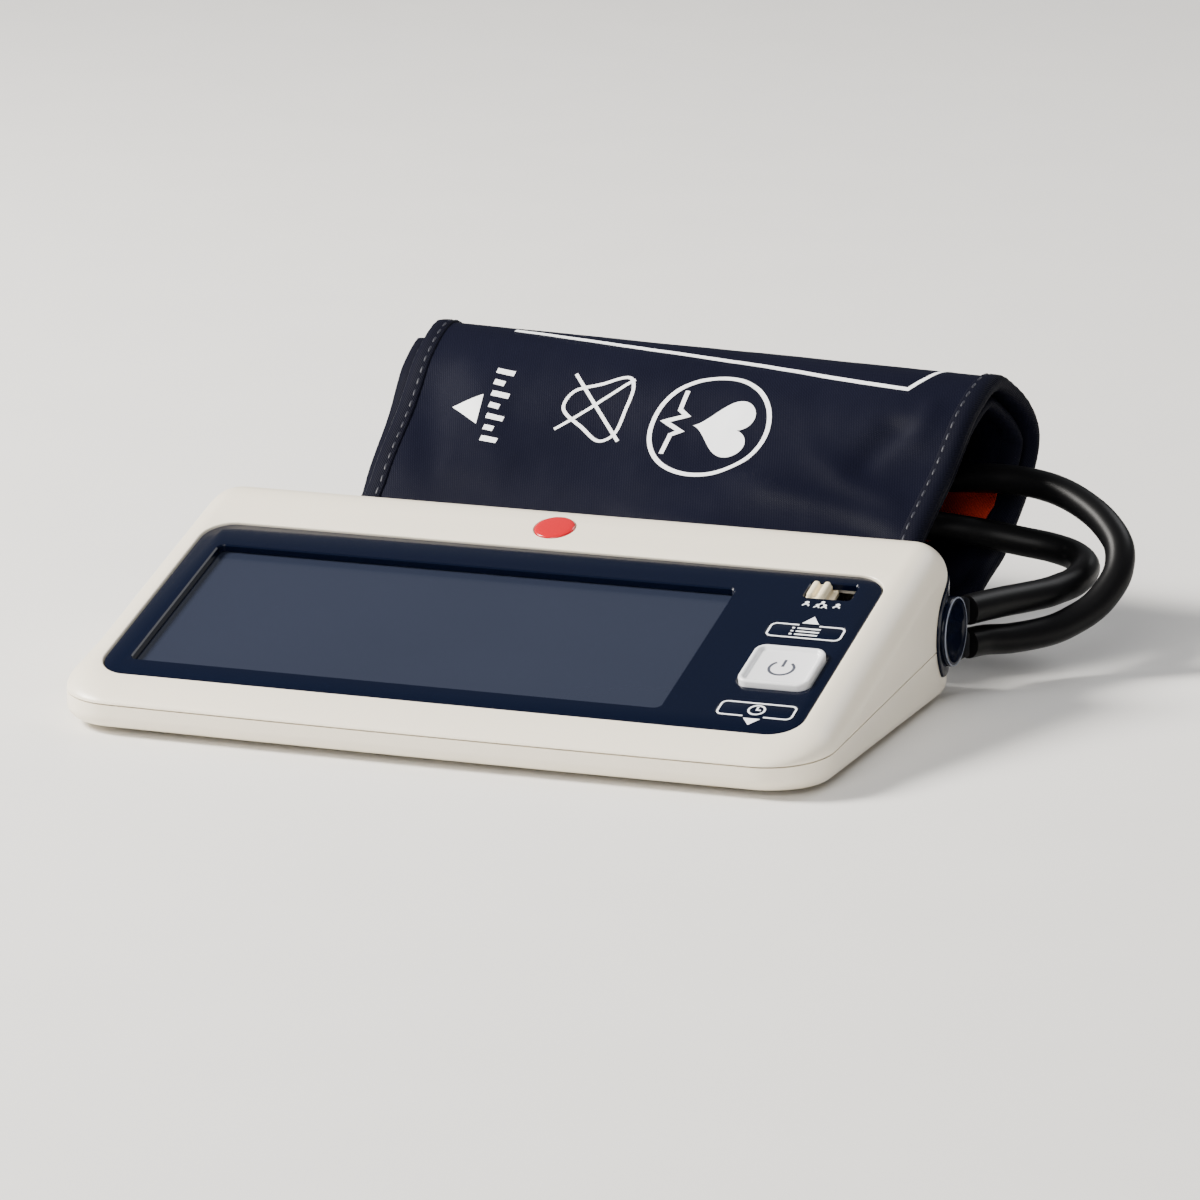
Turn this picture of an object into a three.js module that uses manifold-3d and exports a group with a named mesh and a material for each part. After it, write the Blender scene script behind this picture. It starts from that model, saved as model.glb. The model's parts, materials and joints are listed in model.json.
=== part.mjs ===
// Upper-arm blood pressure monitor with its rolled cuff, in millimetres, +Z up.
// The monitor's middle is X = 0; it stands on its feet at Z = 0 and its display faces -Y and up.
// At the end everything is moved so that the origin is the middle of the footprint.
import * as THREE from "three";
import { mergeVertices } from "three/addons/utils/BufferGeometryUtils.js";
import Module from "manifold-3d";

const wasm = await Module();
wasm.setup();

// ---------------------------------------------------------------- driving dimensions
const GAP = 0.3; // between pieces that touch
const FIT = 0.3; // sliding clearance round keys, knob, door and plug

// Housing
const HOUSING_WIDTH = 176;
const HOUSING_DEPTH = 101;
const FRONT_Y = -50;
const CORNER_RADIUS = 14;
const FRONT_BOW = 0.8;
const EDGE_RADIUS = 7; // round between the top and the sides
const BASE_RADIUS = 3.1; // round between the sides and the underside
const WALL = 2;
const FOOT_HEIGHT = 1.5;
const PARTING_FRONT_Z = 7;
const PARTING_RISE = 0.073; // rise of the parting line per millimetre of depth
const CROWN_RADIUS = 13.3; // round from the sloping top into the back wall
const CROWN_TO_BACK = 13.07; // centre of the crown to the back wall

// Sloping display panel
const PANEL_SLOPE = (17.2 * Math.PI) / 180;
const PANEL_MIDDLE_Y = -8.97;
const PANEL_MIDDLE_Z = 21.735;
const PANEL_WIDTH = HOUSING_WIDTH - 15;
const PANEL_LENGTH = 65.6;
const PANEL_RADIUS = 7;
const PANEL_SINK = 0.4;
const PANEL_THICKNESS = 1.6;
const PANEL_SEAT = 2; // width of the ledge under the panel's rim
const PANEL_SEAT_THICKNESS = 1.5;
const WINDOW_WIDTH = 123;
const WINDOW_LENGTH = 49.7;
const WINDOW_X = -13.3;
const WINDOW_V = -1.3;
const WINDOW_RADIUS = 1.5;
const GLASS_THICKNESS = 1.2;
const GLASS_MARGIN = 1.2;

// Controls, on the panel's own axes
const KEY_COLUMN_X = HOUSING_WIDTH / 2 - 18.8;
const START_WIDTH = 16;
const START_LENGTH = 15.4;
const START_RADIUS = 2.6;
const START_V = -7;
const START_PROUD = 0.9;
const START_TRAVEL = 0.9;
const KEY_WIDTH = 17.2;
const KEY_LENGTH = 5.8;
const KEY_RADIUS = 1.6;
const MEMORY_V = 8.6;
const SET_V = -23.7;
const KEY_TRAVEL = 0.5;
const KEY_FLANGE = 0.9;
const KEY_FLANGE_THICKNESS = 0.8;
const SELECTOR_WIDTH = 10.6;
const SELECTOR_LENGTH = 6.6;
const SELECTOR_V = 26;
const KNOB_WIDTH = 4.4;
const KNOB_FLANGE = 1.2;

// Electronics
const BOARD_DEPTH = 8.2; // panel surface to the board's face
const BOARD_THICKNESS = 1.2;
const BOARD_PAST_KEYS = 6.3; // middle of the key column to the board's right edge
const SWITCH_SIZE = 6;
const SWITCH_HEIGHT = 3;
const LCD_THICKNESS = 2.4;
const CARRIER_WALL = 1.2;

// Batteries, size AA
const CELL_DIAMETER = 14.5;
const CELL_LENGTH = 50.5;
const BAY_LEFT_X = 7.5 - HOUSING_WIDTH / 2;
const BAY_FRONT_Y = 12.5;
const BAY_WALL = 2.1;
const BAY_ROOF = 1.2;
const SPRING_LENGTH = 3.4;
const LEAF_RISE = 2.8;
const LEAF_HALF_LENGTH = 4.2;
const LEAF_THICKNESS = 0.4;
const LEAF_WIDTH = 5;
const LEAF_STEPS = 12;
const DOOR_MARGIN = 1.2; // door beyond the bay on each side
const DOOR_LIP = 3.4; // height of the door's turned-up rear lip

// Pump set
const MOTOR_DIAMETER = 20;
const MOTOR_LENGTH = 18;
const PUMP_DIAMETER = 23;
const PUMP_LENGTH = 12;
const PUMP_X = 31;
const PUMP_Y = 36;
const PUMP_Z = 16;

// Air port and plug on the right side
const PORT_Y = 41.6;
const PORT_Z = 15.6;
const PLUG_DIAMETER = 15.6;
const PLUG_DEPTH = 11;
const PLUG_PROUD = 1.4;
const HOSE_DIAMETER = 6.8;
const HOSE_PITCH = 7.6;
const NIPPLE_DIAMETER = 4;
const NIPPLE_PITCH = 5.6;
const NIPPLE_LENGTH = 6;
const SEAL_GROOVE_RADIUS = 6.4;
const SPIGOT_TURN = (25 * Math.PI) / 180; // spigots lean this far outwards from straight back
const SPIGOT_LENGTH = 9;
const SPIGOT_X = HOUSING_WIDTH / 2 - 2.8; // where the spigots' axis crosses the plug's middle
const JACK_Y = -12;
const JACK_Z = 7.4;
const JACK_RADIUS = 2.9;
const JACK_LENGTH = 12;
const BEZEL_Y = 40.3;
const BEZEL_Z = 17.2;
const BEZEL_HEIGHT = 23;
const BEZEL_WIDTH = 16.2;
const BEZEL_LEAN = (23.2 * Math.PI) / 180;
const BEZEL_PROUD = 0.5;
const BEZEL_SINK = 0.8;

// Badge on the top
const BADGE_DIAMETER = 9.2;
const BADGE_X = -1;
const BADGE_V = 42;
const BADGE_THICKNESS = 0.8;

// Feet and screws
const FOOT_DIAMETER = 10;
const FOOT_SINK = 0.6;
const POST_RADIUS = 2.8;
const SCREW_HEAD_RADIUS = 2.6;
const SCREW_SHANK_RADIUS = 1.2;

// Cuff roll
const CUFF_WIDTH = 148;
const CUFF_TURN = (-6.9 * Math.PI) / 180;
const CUFF_MIDDLE_X = 5.5;
const CUFF_MIDDLE_Y = 114;
const WRAP_THICKNESS = 2.6;
const BLADDER_THICKNESS = 1.4;
const INNER_THICKNESS = 2.4;
const LINING_THICKNESS = 0.6;
const BINDING_WIDTH = 5;
const INNER_SHIFT = -8; // the inner turn sits further left in the roll
const PATCH_THICKNESS = 0.9;

// ---------------------------------------------------------------- derived positions
const BACK_Y = FRONT_Y + HOUSING_DEPTH;
const HALF_WIDTH = HOUSING_WIDTH / 2;
const SLOPE_RISE = Math.tan(PANEL_SLOPE);
const CROWN_Y = BACK_Y - CROWN_TO_BACK;
const CROWN_START_Y = CROWN_Y - CROWN_RADIUS * Math.sin(PANEL_SLOPE);
const CROWN_Z = slopeHeight(CROWN_START_Y) - CROWN_RADIUS * Math.cos(PANEL_SLOPE);
const FLOOR_Z = FOOT_HEIGHT + WALL;
const PANEL_UNDERSIDE = -PANEL_SINK - PANEL_THICKNESS;
const GLASS_TOP = PANEL_UNDERSIDE - GAP;
const LCD_TOP = GLASS_TOP - GLASS_THICKNESS - GAP;
const LCD_BOTTOM = LCD_TOP - LCD_THICKNESS;
const FLANGE_TOP = PANEL_UNDERSIDE - GAP;
const FLANGE_BOTTOM = FLANGE_TOP - KEY_FLANGE_THICKNESS;
const BAY_LENGTH = 2 * CELL_LENGTH + 2 * SPRING_LENGTH + 4 * GAP;
const BAY_RIGHT_X = BAY_LEFT_X + BAY_LENGTH;
const BAY_BACK_Y = BAY_FRONT_Y + 2 * CELL_DIAMETER + 3;
const BAY_FLOOR_Z = FLOOR_Z + GAP;
const CELL_Z = BAY_FLOOR_Z + CELL_DIAMETER / 2;
const BAY_ROOF_Z = CELL_Z + CELL_DIAMETER / 2 + 0.6;
const PLUG_OUTER_X = HALF_WIDTH + PLUG_PROUD;
const PLUG_INNER_X = PLUG_OUTER_X - PLUG_DEPTH;
const HOSE_ZS = { upper: PORT_Z + HOSE_PITCH / 2 - 0.9, lower: PORT_Z - HOSE_PITCH / 2 - 0.9 };
const NIPPLE_ZS = { upper: PORT_Z + NIPPLE_PITCH / 2, lower: PORT_Z - NIPPLE_PITCH / 2 };
const POST_X = HOUSING_WIDTH / 2 - 6.4;
const POSTS = [[-POST_X, -30], [POST_X, -30], [-POST_X, 3], [POST_X, 15]];
const FOOT_X = HOUSING_WIDTH / 2 - 20;
const FEET = [[-FOOT_X, -37], [FOOT_X, -37], [-FOOT_X, 3], [FOOT_X, 38]];

// ---------------------------------------------------------------- solids
function solidOf(geometry) {
  const bare = geometry.index ? geometry.toNonIndexed() : geometry.clone();
  for (const name of Object.keys(bare.attributes)) {
    if (name !== "position") bare.deleteAttribute(name);
  }
  const merged = mergeVertices(bare, 1e-4);
  return new wasm.Manifold(new wasm.Mesh({
    numProp: 3,
    vertProperties: new Float32Array(merged.attributes.position.array),
    triVerts: new Uint32Array(merged.index.array),
  }));
}

function geometryOf(solid) {
  const mesh = solid.getMesh();
  const geometry = new THREE.BufferGeometry();
  geometry.setAttribute("position", new THREE.BufferAttribute(mesh.vertProperties, 3));
  geometry.setIndex(new THREE.BufferAttribute(mesh.triVerts, 1));
  const flat = geometry.toNonIndexed();
  flat.computeVertexNormals();
  return flat;
}

function cut(geometry, ...cutters) {
  return geometryOf(cutters.reduce((solid, cutter) => solid.subtract(solidOf(cutter)), solidOf(geometry)));
}

function join(geometry, ...others) {
  return geometryOf(others.reduce((solid, other) => solid.add(solidOf(other)), solidOf(geometry)));
}

function common(a, b) {
  return geometryOf(solidOf(a).intersect(solidOf(b)));
}

function box(x0, x1, y0, y1, z0, z1) {
  return new THREE.BoxGeometry(x1 - x0, y1 - y0, z1 - z0)
    .translate((x0 + x1) / 2, (y0 + y1) / 2, (z0 + z1) / 2);
}

function cylinderZ(radius, x, y, z0, z1, sides = 20) {
  return new THREE.CylinderGeometry(radius, radius, z1 - z0, sides)
    .rotateX(Math.PI / 2)
    .translate(x, y, (z0 + z1) / 2);
}

function cylinderX(radius, x0, x1, y, z, sides = 24) {
  return new THREE.CylinderGeometry(radius, radius, x1 - x0, sides)
    .rotateZ(-Math.PI / 2)
    .translate((x0 + x1) / 2, y, z);
}

function cylinderY(radius, y0, y1, x, z, sides = 20) {
  return new THREE.CylinderGeometry(radius, radius, y1 - y0, sides)
    .translate(x, (y0 + y1) / 2, z);
}

function roundedRectangle(width, length, radius, x = 0, y = 0) {
  const shape = new THREE.Shape();
  const [a, b] = [width / 2 - radius, length / 2 - radius];
  shape.absarc(x + a, y + b, radius, 0, Math.PI / 2);
  shape.absarc(x - a, y + b, radius, Math.PI / 2, Math.PI);
  shape.absarc(x - a, y - b, radius, Math.PI, 1.5 * Math.PI);
  shape.absarc(x + a, y - b, radius, 1.5 * Math.PI, 2 * Math.PI);
  shape.closePath();
  return shape;
}

function plate(shape, z0, z1, curveSegments = 3) {
  return new THREE.ExtrudeGeometry(shape, { depth: z1 - z0, bevelEnabled: false, curveSegments })
    .translate(0, 0, z0);
}

function tube(points, radius, steps, sides = 10, tension = "centripetal") {
  const path = new THREE.CatmullRomCurve3(points.map((p) => new THREE.Vector3(...p)), false, tension);
  const ring = new THREE.Shape().absarc(0, 0, radius, 0, 2 * Math.PI, false);
  return new THREE.ExtrudeGeometry(ring, { steps, curveSegments: sides, bevelEnabled: false, extrudePath: path });
}

// ---------------------------------------------------------------- housing surface
function slopeHeight(y) {
  return PANEL_MIDDLE_Z + SLOPE_RISE * (y - PANEL_MIDDLE_Y);
}

function partingHeight(y) {
  return PARTING_FRONT_Z + PARTING_RISE * (y - FRONT_Y);
}

// Height of the top at depth y, for a surface that lies `inset` inside the outer one.
function topHeight(y, inset) {
  const radius = CROWN_RADIUS - inset;
  if (y <= CROWN_Y - radius * Math.sin(PANEL_SLOPE)) {
    return slopeHeight(y) - inset / Math.cos(PANEL_SLOPE);
  }
  return CROWN_Z + Math.sqrt(Math.max(radius * radius - (y - CROWN_Y) ** 2, 0.01));
}

// Right half of the plan outline, from the middle of the front to the middle of the back.
function halfOutline(inset) {
  const radius = CORNER_RADIUS - inset;
  const x = HALF_WIDTH - CORNER_RADIUS;
  const [front, back] = [FRONT_Y + CORNER_RADIUS, BACK_Y - CORNER_RADIUS];
  const points = [0, 0.35, 0.7].map((t) => [t * x, FRONT_Y + inset]);
  const arc = 6;
  for (let i = 0; i <= arc; i++) {
    const angle = (-0.5 + (0.5 * i) / arc) * Math.PI;
    points.push([x + radius * Math.cos(angle), front + radius * Math.sin(angle)]);
  }
  for (const t of [0.25, 0.5, 0.75, 0.9]) {
    points.push([x + radius, front + t * (back - front)]);
  }
  for (let i = 0; i <= arc; i++) {
    const angle = ((0.5 * i) / arc) * Math.PI;
    points.push([x + radius * Math.cos(angle), back + radius * Math.sin(angle)]);
  }
  points.push([0.5 * x, BACK_Y - inset], [0, BACK_Y - inset]);
  return points.map(([px, py]) => [px, py + FRONT_BOW * (px / HALF_WIDTH) ** 2 * Math.max(0, -py / -FRONT_Y)]);
}

// Whole enclosure as one closed solid, `inset` inside the outer surface.
function enclosure(inset) {
  const steps = 4;
  const rings = [];
  const base = FOOT_HEIGHT + inset;
  for (let i = steps; i >= 0; i--) {
    const angle = (i / steps) * (Math.PI / 2);
    const outline = halfOutline(inset + BASE_RADIUS * (1 - Math.cos(angle)));
    rings.push(outline.map(([x, y]) => [x, y, base + BASE_RADIUS * (1 - Math.sin(angle))]));
  }
  for (let i = 0; i <= steps; i++) {
    const angle = (i / steps) * (Math.PI / 2);
    const outline = halfOutline(inset + EDGE_RADIUS * (1 - Math.cos(angle)));
    rings.push(outline.map(([x, y]) => {
      const top = topHeight(y, inset);
      const room = Math.max(top - partingHeight(y) + inset, 0.6);
      return [x, y, top - Math.min(EDGE_RADIUS, 0.9 * room) * (1 - Math.sin(angle))];
    }));
  }
  return loft(rings);
}

// Closed solid through rings that are each given as a right half and are the same left and right.
function loft(rings) {
  const half = rings[0].length;
  const loops = rings.map((ring) => [
    ...ring,
    ...ring.slice(1, -1).reverse().map(([x, y, z]) => [-x, y, z]),
  ]);
  const count = loops[0].length;
  const positions = loops.flat(2);
  const index = [];
  const mirror = (i) => (count - i) % count;
  for (let r = 0; r + 1 < loops.length; r++) {
    for (let i = 0; i < count; i++) {
      const j = (i + 1) % count;
      const [a, b, c, d] = [r * count + i, r * count + j, (r + 1) * count + j, (r + 1) * count + i];
      index.push(a, b, c, a, c, d);
    }
  }
  const cap = (start, up) => {
    const face = (a, b, c) => (up ? index.push(start + a, start + b, start + c) : index.push(start + a, start + c, start + b));
    for (let i = 0; i + 1 < half; i++) {
      const [a, b, c, d] = [i, i + 1, mirror(i + 1), mirror(i)];
      if (b !== c) face(a, b, c);
      if (a !== d) face(a, c, d);
    }
  };
  cap(0, false);
  cap((loops.length - 1) * count, true);
  const geometry = new THREE.BufferGeometry();
  geometry.setAttribute("position", new THREE.Float32BufferAttribute(positions, 3));
  geometry.setIndex(index);
  return geometry;
}

// A block that fills everything on one side of the parting plane.
function partingBlock(above, gap) {
  const size = 3 * HOUSING_WIDTH;
  return new THREE.BoxGeometry(size, size, size)
    .translate(0, 0, above ? size / 2 + gap : -size / 2 - gap)
    .rotateX(Math.atan(PARTING_RISE))
    .translate(0, FRONT_Y, PARTING_FRONT_Z);
}

const panelFrame = new THREE.Matrix4()
  .makeRotationX(PANEL_SLOPE)
  .setPosition(0, PANEL_MIDDLE_Y, PANEL_MIDDLE_Z);

function onPanel(geometry) {
  return geometry.applyMatrix4(panelFrame);
}

// Lens outline of the port's bezel on the side wall, grown by `extra`, as a block along X.
function bezelBlock(extra, x0, x1) {
  const half = BEZEL_HEIGHT / 2 + extra;
  const width = BEZEL_WIDTH / 2 + extra;
  const radius = (half * half + width * width) / (2 * width);
  const reach = Math.asin(half / radius);
  const shape = new THREE.Shape();
  shape.absarc(width - radius, 0, radius, -reach, reach);
  shape.absarc(radius - width, 0, radius, Math.PI - reach, Math.PI + reach);
  return plate(shape, x0, x1, 10)
    .rotateZ(-BEZEL_LEAN)
    .rotateZ(Math.PI / 2)
    .rotateY(Math.PI / 2)
    .translate(0, BEZEL_Y, BEZEL_Z);
}

// ---------------------------------------------------------------- pieces
const part = new THREE.Group();
const panelGroup = new THREE.Group();
panelGroup.applyMatrix4(panelFrame);
const cuffGroup = new THREE.Group();
cuffGroup.position.set(CUFF_MIDDLE_X, CUFF_MIDDLE_Y, 0);
cuffGroup.rotation.z = CUFF_TURN;
part.add(panelGroup, cuffGroup);

const material = (color, roughness, metalness = 0) => new THREE.MeshStandardMaterial({ color, roughness, metalness });
const CREAM = material(0xe6e0d2, 0.4);
const NAVY = material(0x10182f, 0.12);
const GLASS = material(0x1d2a44, 0.08);
const BUTTON_WHITE = material(0xd9d9dc, 0.35);
const KNOB_CREAM = material(0xe6d9b8, 0.4);
const RED_GLOSS = material(0xc8102e, 0.15);
const RUBBER = material(0x131316, 0.75);
const HOSE_RUBBER = material(0x0d0d0f, 0.55);
const BOARD_GREEN = material(0x1f5a38, 0.5);
const BLACK_PLASTIC = material(0x18191c, 0.45);
const STEEL = material(0xb9bbbd, 0.3, 1);
const CELL_WRAP = material(0x2b4a66, 0.35);
const LCD_GREY = material(0x55605a, 0.2);
const CUFF_NYLON = material(0x14172a, 0.75);
const BINDING_TAPE = material(0x0e1020, 0.8);
const BLADDER = material(0x2a2a2e, 0.6);
const LINING_RED = material(0xb3271a, 0.7);
const HOOK_TAPE = material(0x0b0b12, 0.9);

function add(group, name, geometry, look) {
  const mesh = new THREE.Mesh(geometry, look);
  mesh.name = name;
  group.add(mesh);
}

// Room that the plug and its hoses need in the side wall.
function plugRoom() {
  const radius = PLUG_DIAMETER / 2 + FIT;
  const half = HOSE_PITCH / 2 + HOSE_DIAMETER / 2 + 0.6;
  const middle = (HOSE_ZS.upper + HOSE_ZS.lower) / 2;
  return join(
    cylinderX(radius, PLUG_INNER_X - 2 * WALL, HALF_WIDTH + 20, PORT_Y, PORT_Z, 32),
    box(HALF_WIDTH - HOSE_DIAMETER + 1, HALF_WIDTH + 20, PORT_Y, BACK_Y + 10, middle - half, middle + half),
  );
}

function shell() {
  return cut(enclosure(0), enclosure(WALL));
}

function doorBlock(extra) {
  return box(
    BAY_LEFT_X - DOOR_MARGIN - extra, BAY_RIGHT_X + DOOR_MARGIN + extra,
    BAY_FRONT_Y - DOOR_MARGIN - extra, BACK_Y + 5,
    -5, FOOT_HEIGHT + DOOR_LIP + extra,
  );
}

function screwPost([x, y]) {
  return cylinderZ(POST_RADIUS, x, y, FLOOR_Z + 2 * GAP, slopeHeight(y) + PANEL_UNDERSIDE);
}

function buildHousing() {
  const seatWidth = PANEL_WIDTH + 2 * FIT;
  const seatLength = PANEL_LENGTH + 2 * FIT;
  const seatTop = PANEL_UNDERSIDE - GAP;
  const ledge = plate(roundedRectangle(seatWidth + 3, seatLength + 3, PANEL_RADIUS + 1), seatTop - PANEL_SEAT_THICKNESS, -PANEL_SINK);
  const ledgeHole = plate(
    roundedRectangle(seatWidth - 2 * PANEL_SEAT, seatLength - 2 * PANEL_SEAT, PANEL_RADIUS - 3), seatTop - 5, 5);
  const pocket = plate(roundedRectangle(seatWidth, seatLength, PANEL_RADIUS + FIT), seatTop, 12);
  const flangeMargin = KEY_FLANGE + FIT;
  const buttonRoom = plate(
    roundedRectangle(
      START_WIDTH + 2 * flangeMargin, START_LENGTH + 2 * flangeMargin, START_RADIUS + flangeMargin, KEY_COLUMN_X, START_V),
    seatTop - 5, 5);
  const upperShell = common(shell(), partingBlock(true, GAP / 2));
  const upper = cut(
    join(upperShell, common(onPanel(ledge), enclosure(0.5)), ...POSTS.map(screwPost)),
    onPanel(join(ledgeHole, buttonRoom)),
    onPanel(pocket),
    onPanel(cylinderZ(BADGE_DIAMETER / 2 + FIT, BADGE_X, BADGE_V, -BADGE_THICKNESS, 3, 28)),
    bezelBlock(FIT, HALF_WIDTH - 20, HALF_WIDTH + 5),
    plugRoom(),
    ...POSTS.map(([x, y]) => cylinderZ(SCREW_SHANK_RADIUS + 0.4, x, y, 0, FLOOR_Z + 6.5, 12)),
  );
  add(part, "upper_housing", upper, CREAM);

  const bayOutside = box(
    BAY_LEFT_X - BAY_WALL, BAY_RIGHT_X + BAY_WALL, BAY_FRONT_Y - BAY_WALL, BAY_BACK_Y + BAY_WALL,
    FLOOR_Z - 1, BAY_ROOF_Z + BAY_ROOF);
  const bayInside = box(BAY_LEFT_X, BAY_RIGHT_X, BAY_FRONT_Y, BAY_BACK_Y, -5, BAY_ROOF_Z);
  const lowerShell = common(shell(), partingBlock(false, GAP / 2));
  const bay = common(bayOutside, enclosure(WALL + GAP));
  const bayFoot = common(
    box(BAY_LEFT_X - BAY_WALL, BAY_RIGHT_X + BAY_WALL, BAY_FRONT_Y - BAY_WALL, BAY_BACK_Y + BAY_WALL, FLOOR_Z - 1, FLOOR_Z + 3),
    enclosure(WALL / 2));
  const lower = cut(
    join(lowerShell, bay, bayFoot),
    bayInside,
    common(shell(), doorBlock(FIT)),
    bezelBlock(FIT, HALF_WIDTH - 20, HALF_WIDTH + 5),
    plugRoom(),
    cylinderX(JACK_RADIUS, -HALF_WIDTH - 5, -HALF_WIDTH + 6, JACK_Y, JACK_Z, 20),
    ...POSTS.map(([x, y]) => join(
      cylinderZ(SCREW_SHANK_RADIUS + 0.5, x, y, 0, FLOOR_Z + 1, 12),
      cylinderZ(SCREW_HEAD_RADIUS + 0.4, x, y, 0, FOOT_HEIGHT + 1.2, 16))),
    ...FEET.map(([x, y]) => cylinderZ(FOOT_DIAMETER / 2 + FIT, x, y, 0, FOOT_HEIGHT + FOOT_SINK, 24)),
  );
  add(part, "lower_housing", lower, CREAM);
  add(part, "battery_door", cut(common(shell(), doorBlock(0)), box(-200, 200, -200, BAY_BACK_Y + BAY_WALL + FIT, FLOOR_Z + 0.01, 30)), CREAM);
}

function buildPortAndPlug() {
  const skin = cut(enclosure(-BEZEL_PROUD), enclosure(BEZEL_SINK));
  add(part, "port_bezel", cut(common(skin, bezelBlock(0, HALF_WIDTH - 12, HALF_WIDTH + 5)), plugRoom()), NAVY);

  const cupX = PLUG_INNER_X - 7;
  const cup = cylinderX(PLUG_DIAMETER / 2 - 0.4, cupX, PLUG_INNER_X - GAP, PORT_Y, PORT_Z, 28);
  const nipples = Object.values(NIPPLE_ZS).map((z) =>
    cylinderX(NIPPLE_DIAMETER / 2, cupX + 1, PLUG_INNER_X + NIPPLE_LENGTH, PORT_Y, z, 14));
  const tails = [
    cylinderX(NIPPLE_DIAMETER / 2, cupX - 3, cupX + 1, PORT_Y, NIPPLE_ZS.upper, 14),
    cylinderY(NIPPLE_DIAMETER / 2, PORT_Y - 11, PORT_Y - 5, cupX + 3, NIPPLE_ZS.lower, 14),
  ];
  add(part, "air_socket", join(cup, ...nipples, ...tails), BLACK_PLASTIC);

  const profile = [
    [0, 0], [PLUG_DIAMETER / 2 - 0.6, 0], [PLUG_DIAMETER / 2, 0.6],
    [PLUG_DIAMETER / 2, 1.6], [SEAL_GROOVE_RADIUS, 1.6], [SEAL_GROOVE_RADIUS, 3.4], [PLUG_DIAMETER / 2, 3.4],
    [PLUG_DIAMETER / 2, PLUG_DEPTH - 1.2], [PLUG_DIAMETER / 2 - 1.2, PLUG_DEPTH], [0, PLUG_DEPTH],
  ].map(([r, x]) => new THREE.Vector2(r, x));
  const body = new THREE.LatheGeometry(profile, 32).rotateZ(-Math.PI / 2).translate(PLUG_INNER_X, PORT_Y, PORT_Z);
  const bores = Object.values(NIPPLE_ZS).map((z) =>
    cylinderX(NIPPLE_DIAMETER / 2 + FIT, PLUG_INNER_X - 2, PLUG_INNER_X + NIPPLE_LENGTH + FIT, PORT_Y, z, 14));
  const spigots = Object.values(HOSE_ZS).map((z) =>
    cylinderY(HOSE_DIAMETER / 2 - 0.2, 0, SPIGOT_LENGTH, 0, 0, 16)
      .rotateZ(-SPIGOT_TURN)
      .translate(SPIGOT_X, PORT_Y, z));
  add(part, "air_plug", cut(join(body, ...spigots), ...bores), BLACK_PLASTIC);
  const seal = new THREE.TorusGeometry(SEAL_GROOVE_RADIUS + 0.3 + 0.55, 0.55, 6, 24)
    .rotateY(Math.PI / 2)
    .translate(PLUG_INNER_X + 2.5, PORT_Y, PORT_Z);
  add(part, "plug_seal", seal, RUBBER);
}


function buildPanel() {
  const hole = (width, length, radius, x, v) =>
    plate(roundedRectangle(width, length, radius, x, v), PANEL_UNDERSIDE - 2, 3);
  const bevel = new THREE.ExtrudeGeometry(roundedRectangle(WINDOW_WIDTH, WINDOW_LENGTH, WINDOW_RADIUS, WINDOW_X, WINDOW_V), {
    depth: 2, bevelThickness: 0.9, bevelSize: 0.7, bevelSegments: 1, curveSegments: 3,
  }).translate(0, 0, PANEL_UNDERSIDE + 0.9 + 0.5);
  const panel = cut(
    plate(roundedRectangle(PANEL_WIDTH, PANEL_LENGTH, PANEL_RADIUS), PANEL_UNDERSIDE, -PANEL_SINK, 7),
    hole(WINDOW_WIDTH, WINDOW_LENGTH, WINDOW_RADIUS, WINDOW_X, WINDOW_V),
    hole(START_WIDTH + 2 * FIT, START_LENGTH + 2 * FIT, START_RADIUS + FIT, KEY_COLUMN_X, START_V),
    hole(KEY_WIDTH + 2 * FIT, KEY_LENGTH + 2 * FIT, KEY_RADIUS + FIT, KEY_COLUMN_X, MEMORY_V),
    hole(KEY_WIDTH + 2 * FIT, KEY_LENGTH + 2 * FIT, KEY_RADIUS + FIT, KEY_COLUMN_X, SET_V),
    hole(SELECTOR_WIDTH, SELECTOR_LENGTH, 1, KEY_COLUMN_X, SELECTOR_V),
    bevel,
  );
  add(panelGroup, "display_panel", panel, NAVY);
  const glass = plate(
    roundedRectangle(WINDOW_WIDTH + 2 * GLASS_MARGIN, WINDOW_LENGTH + 2 * GLASS_MARGIN, WINDOW_RADIUS, WINDOW_X, WINDOW_V),
    GLASS_TOP - GLASS_THICKNESS, GLASS_TOP);
  add(panelGroup, "display_window", glass, GLASS);
  add(panelGroup, "badge", cylinderZ(BADGE_DIAMETER / 2, BADGE_X, BADGE_V, -BADGE_THICKNESS + GAP, 0.35, 32), RED_GLOSS);
}

function key(name, width, length, radius, v, top, look) {
  const cap = plate(roundedRectangle(width, length, radius, KEY_COLUMN_X, v), FLANGE_BOTTOM, top);
  const flange = plate(
    roundedRectangle(width + 2 * KEY_FLANGE, length + 2 * KEY_FLANGE, radius + KEY_FLANGE, KEY_COLUMN_X, v),
    FLANGE_BOTTOM, FLANGE_TOP);
  add(panelGroup, name, join(cap, flange), look);
}

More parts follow.
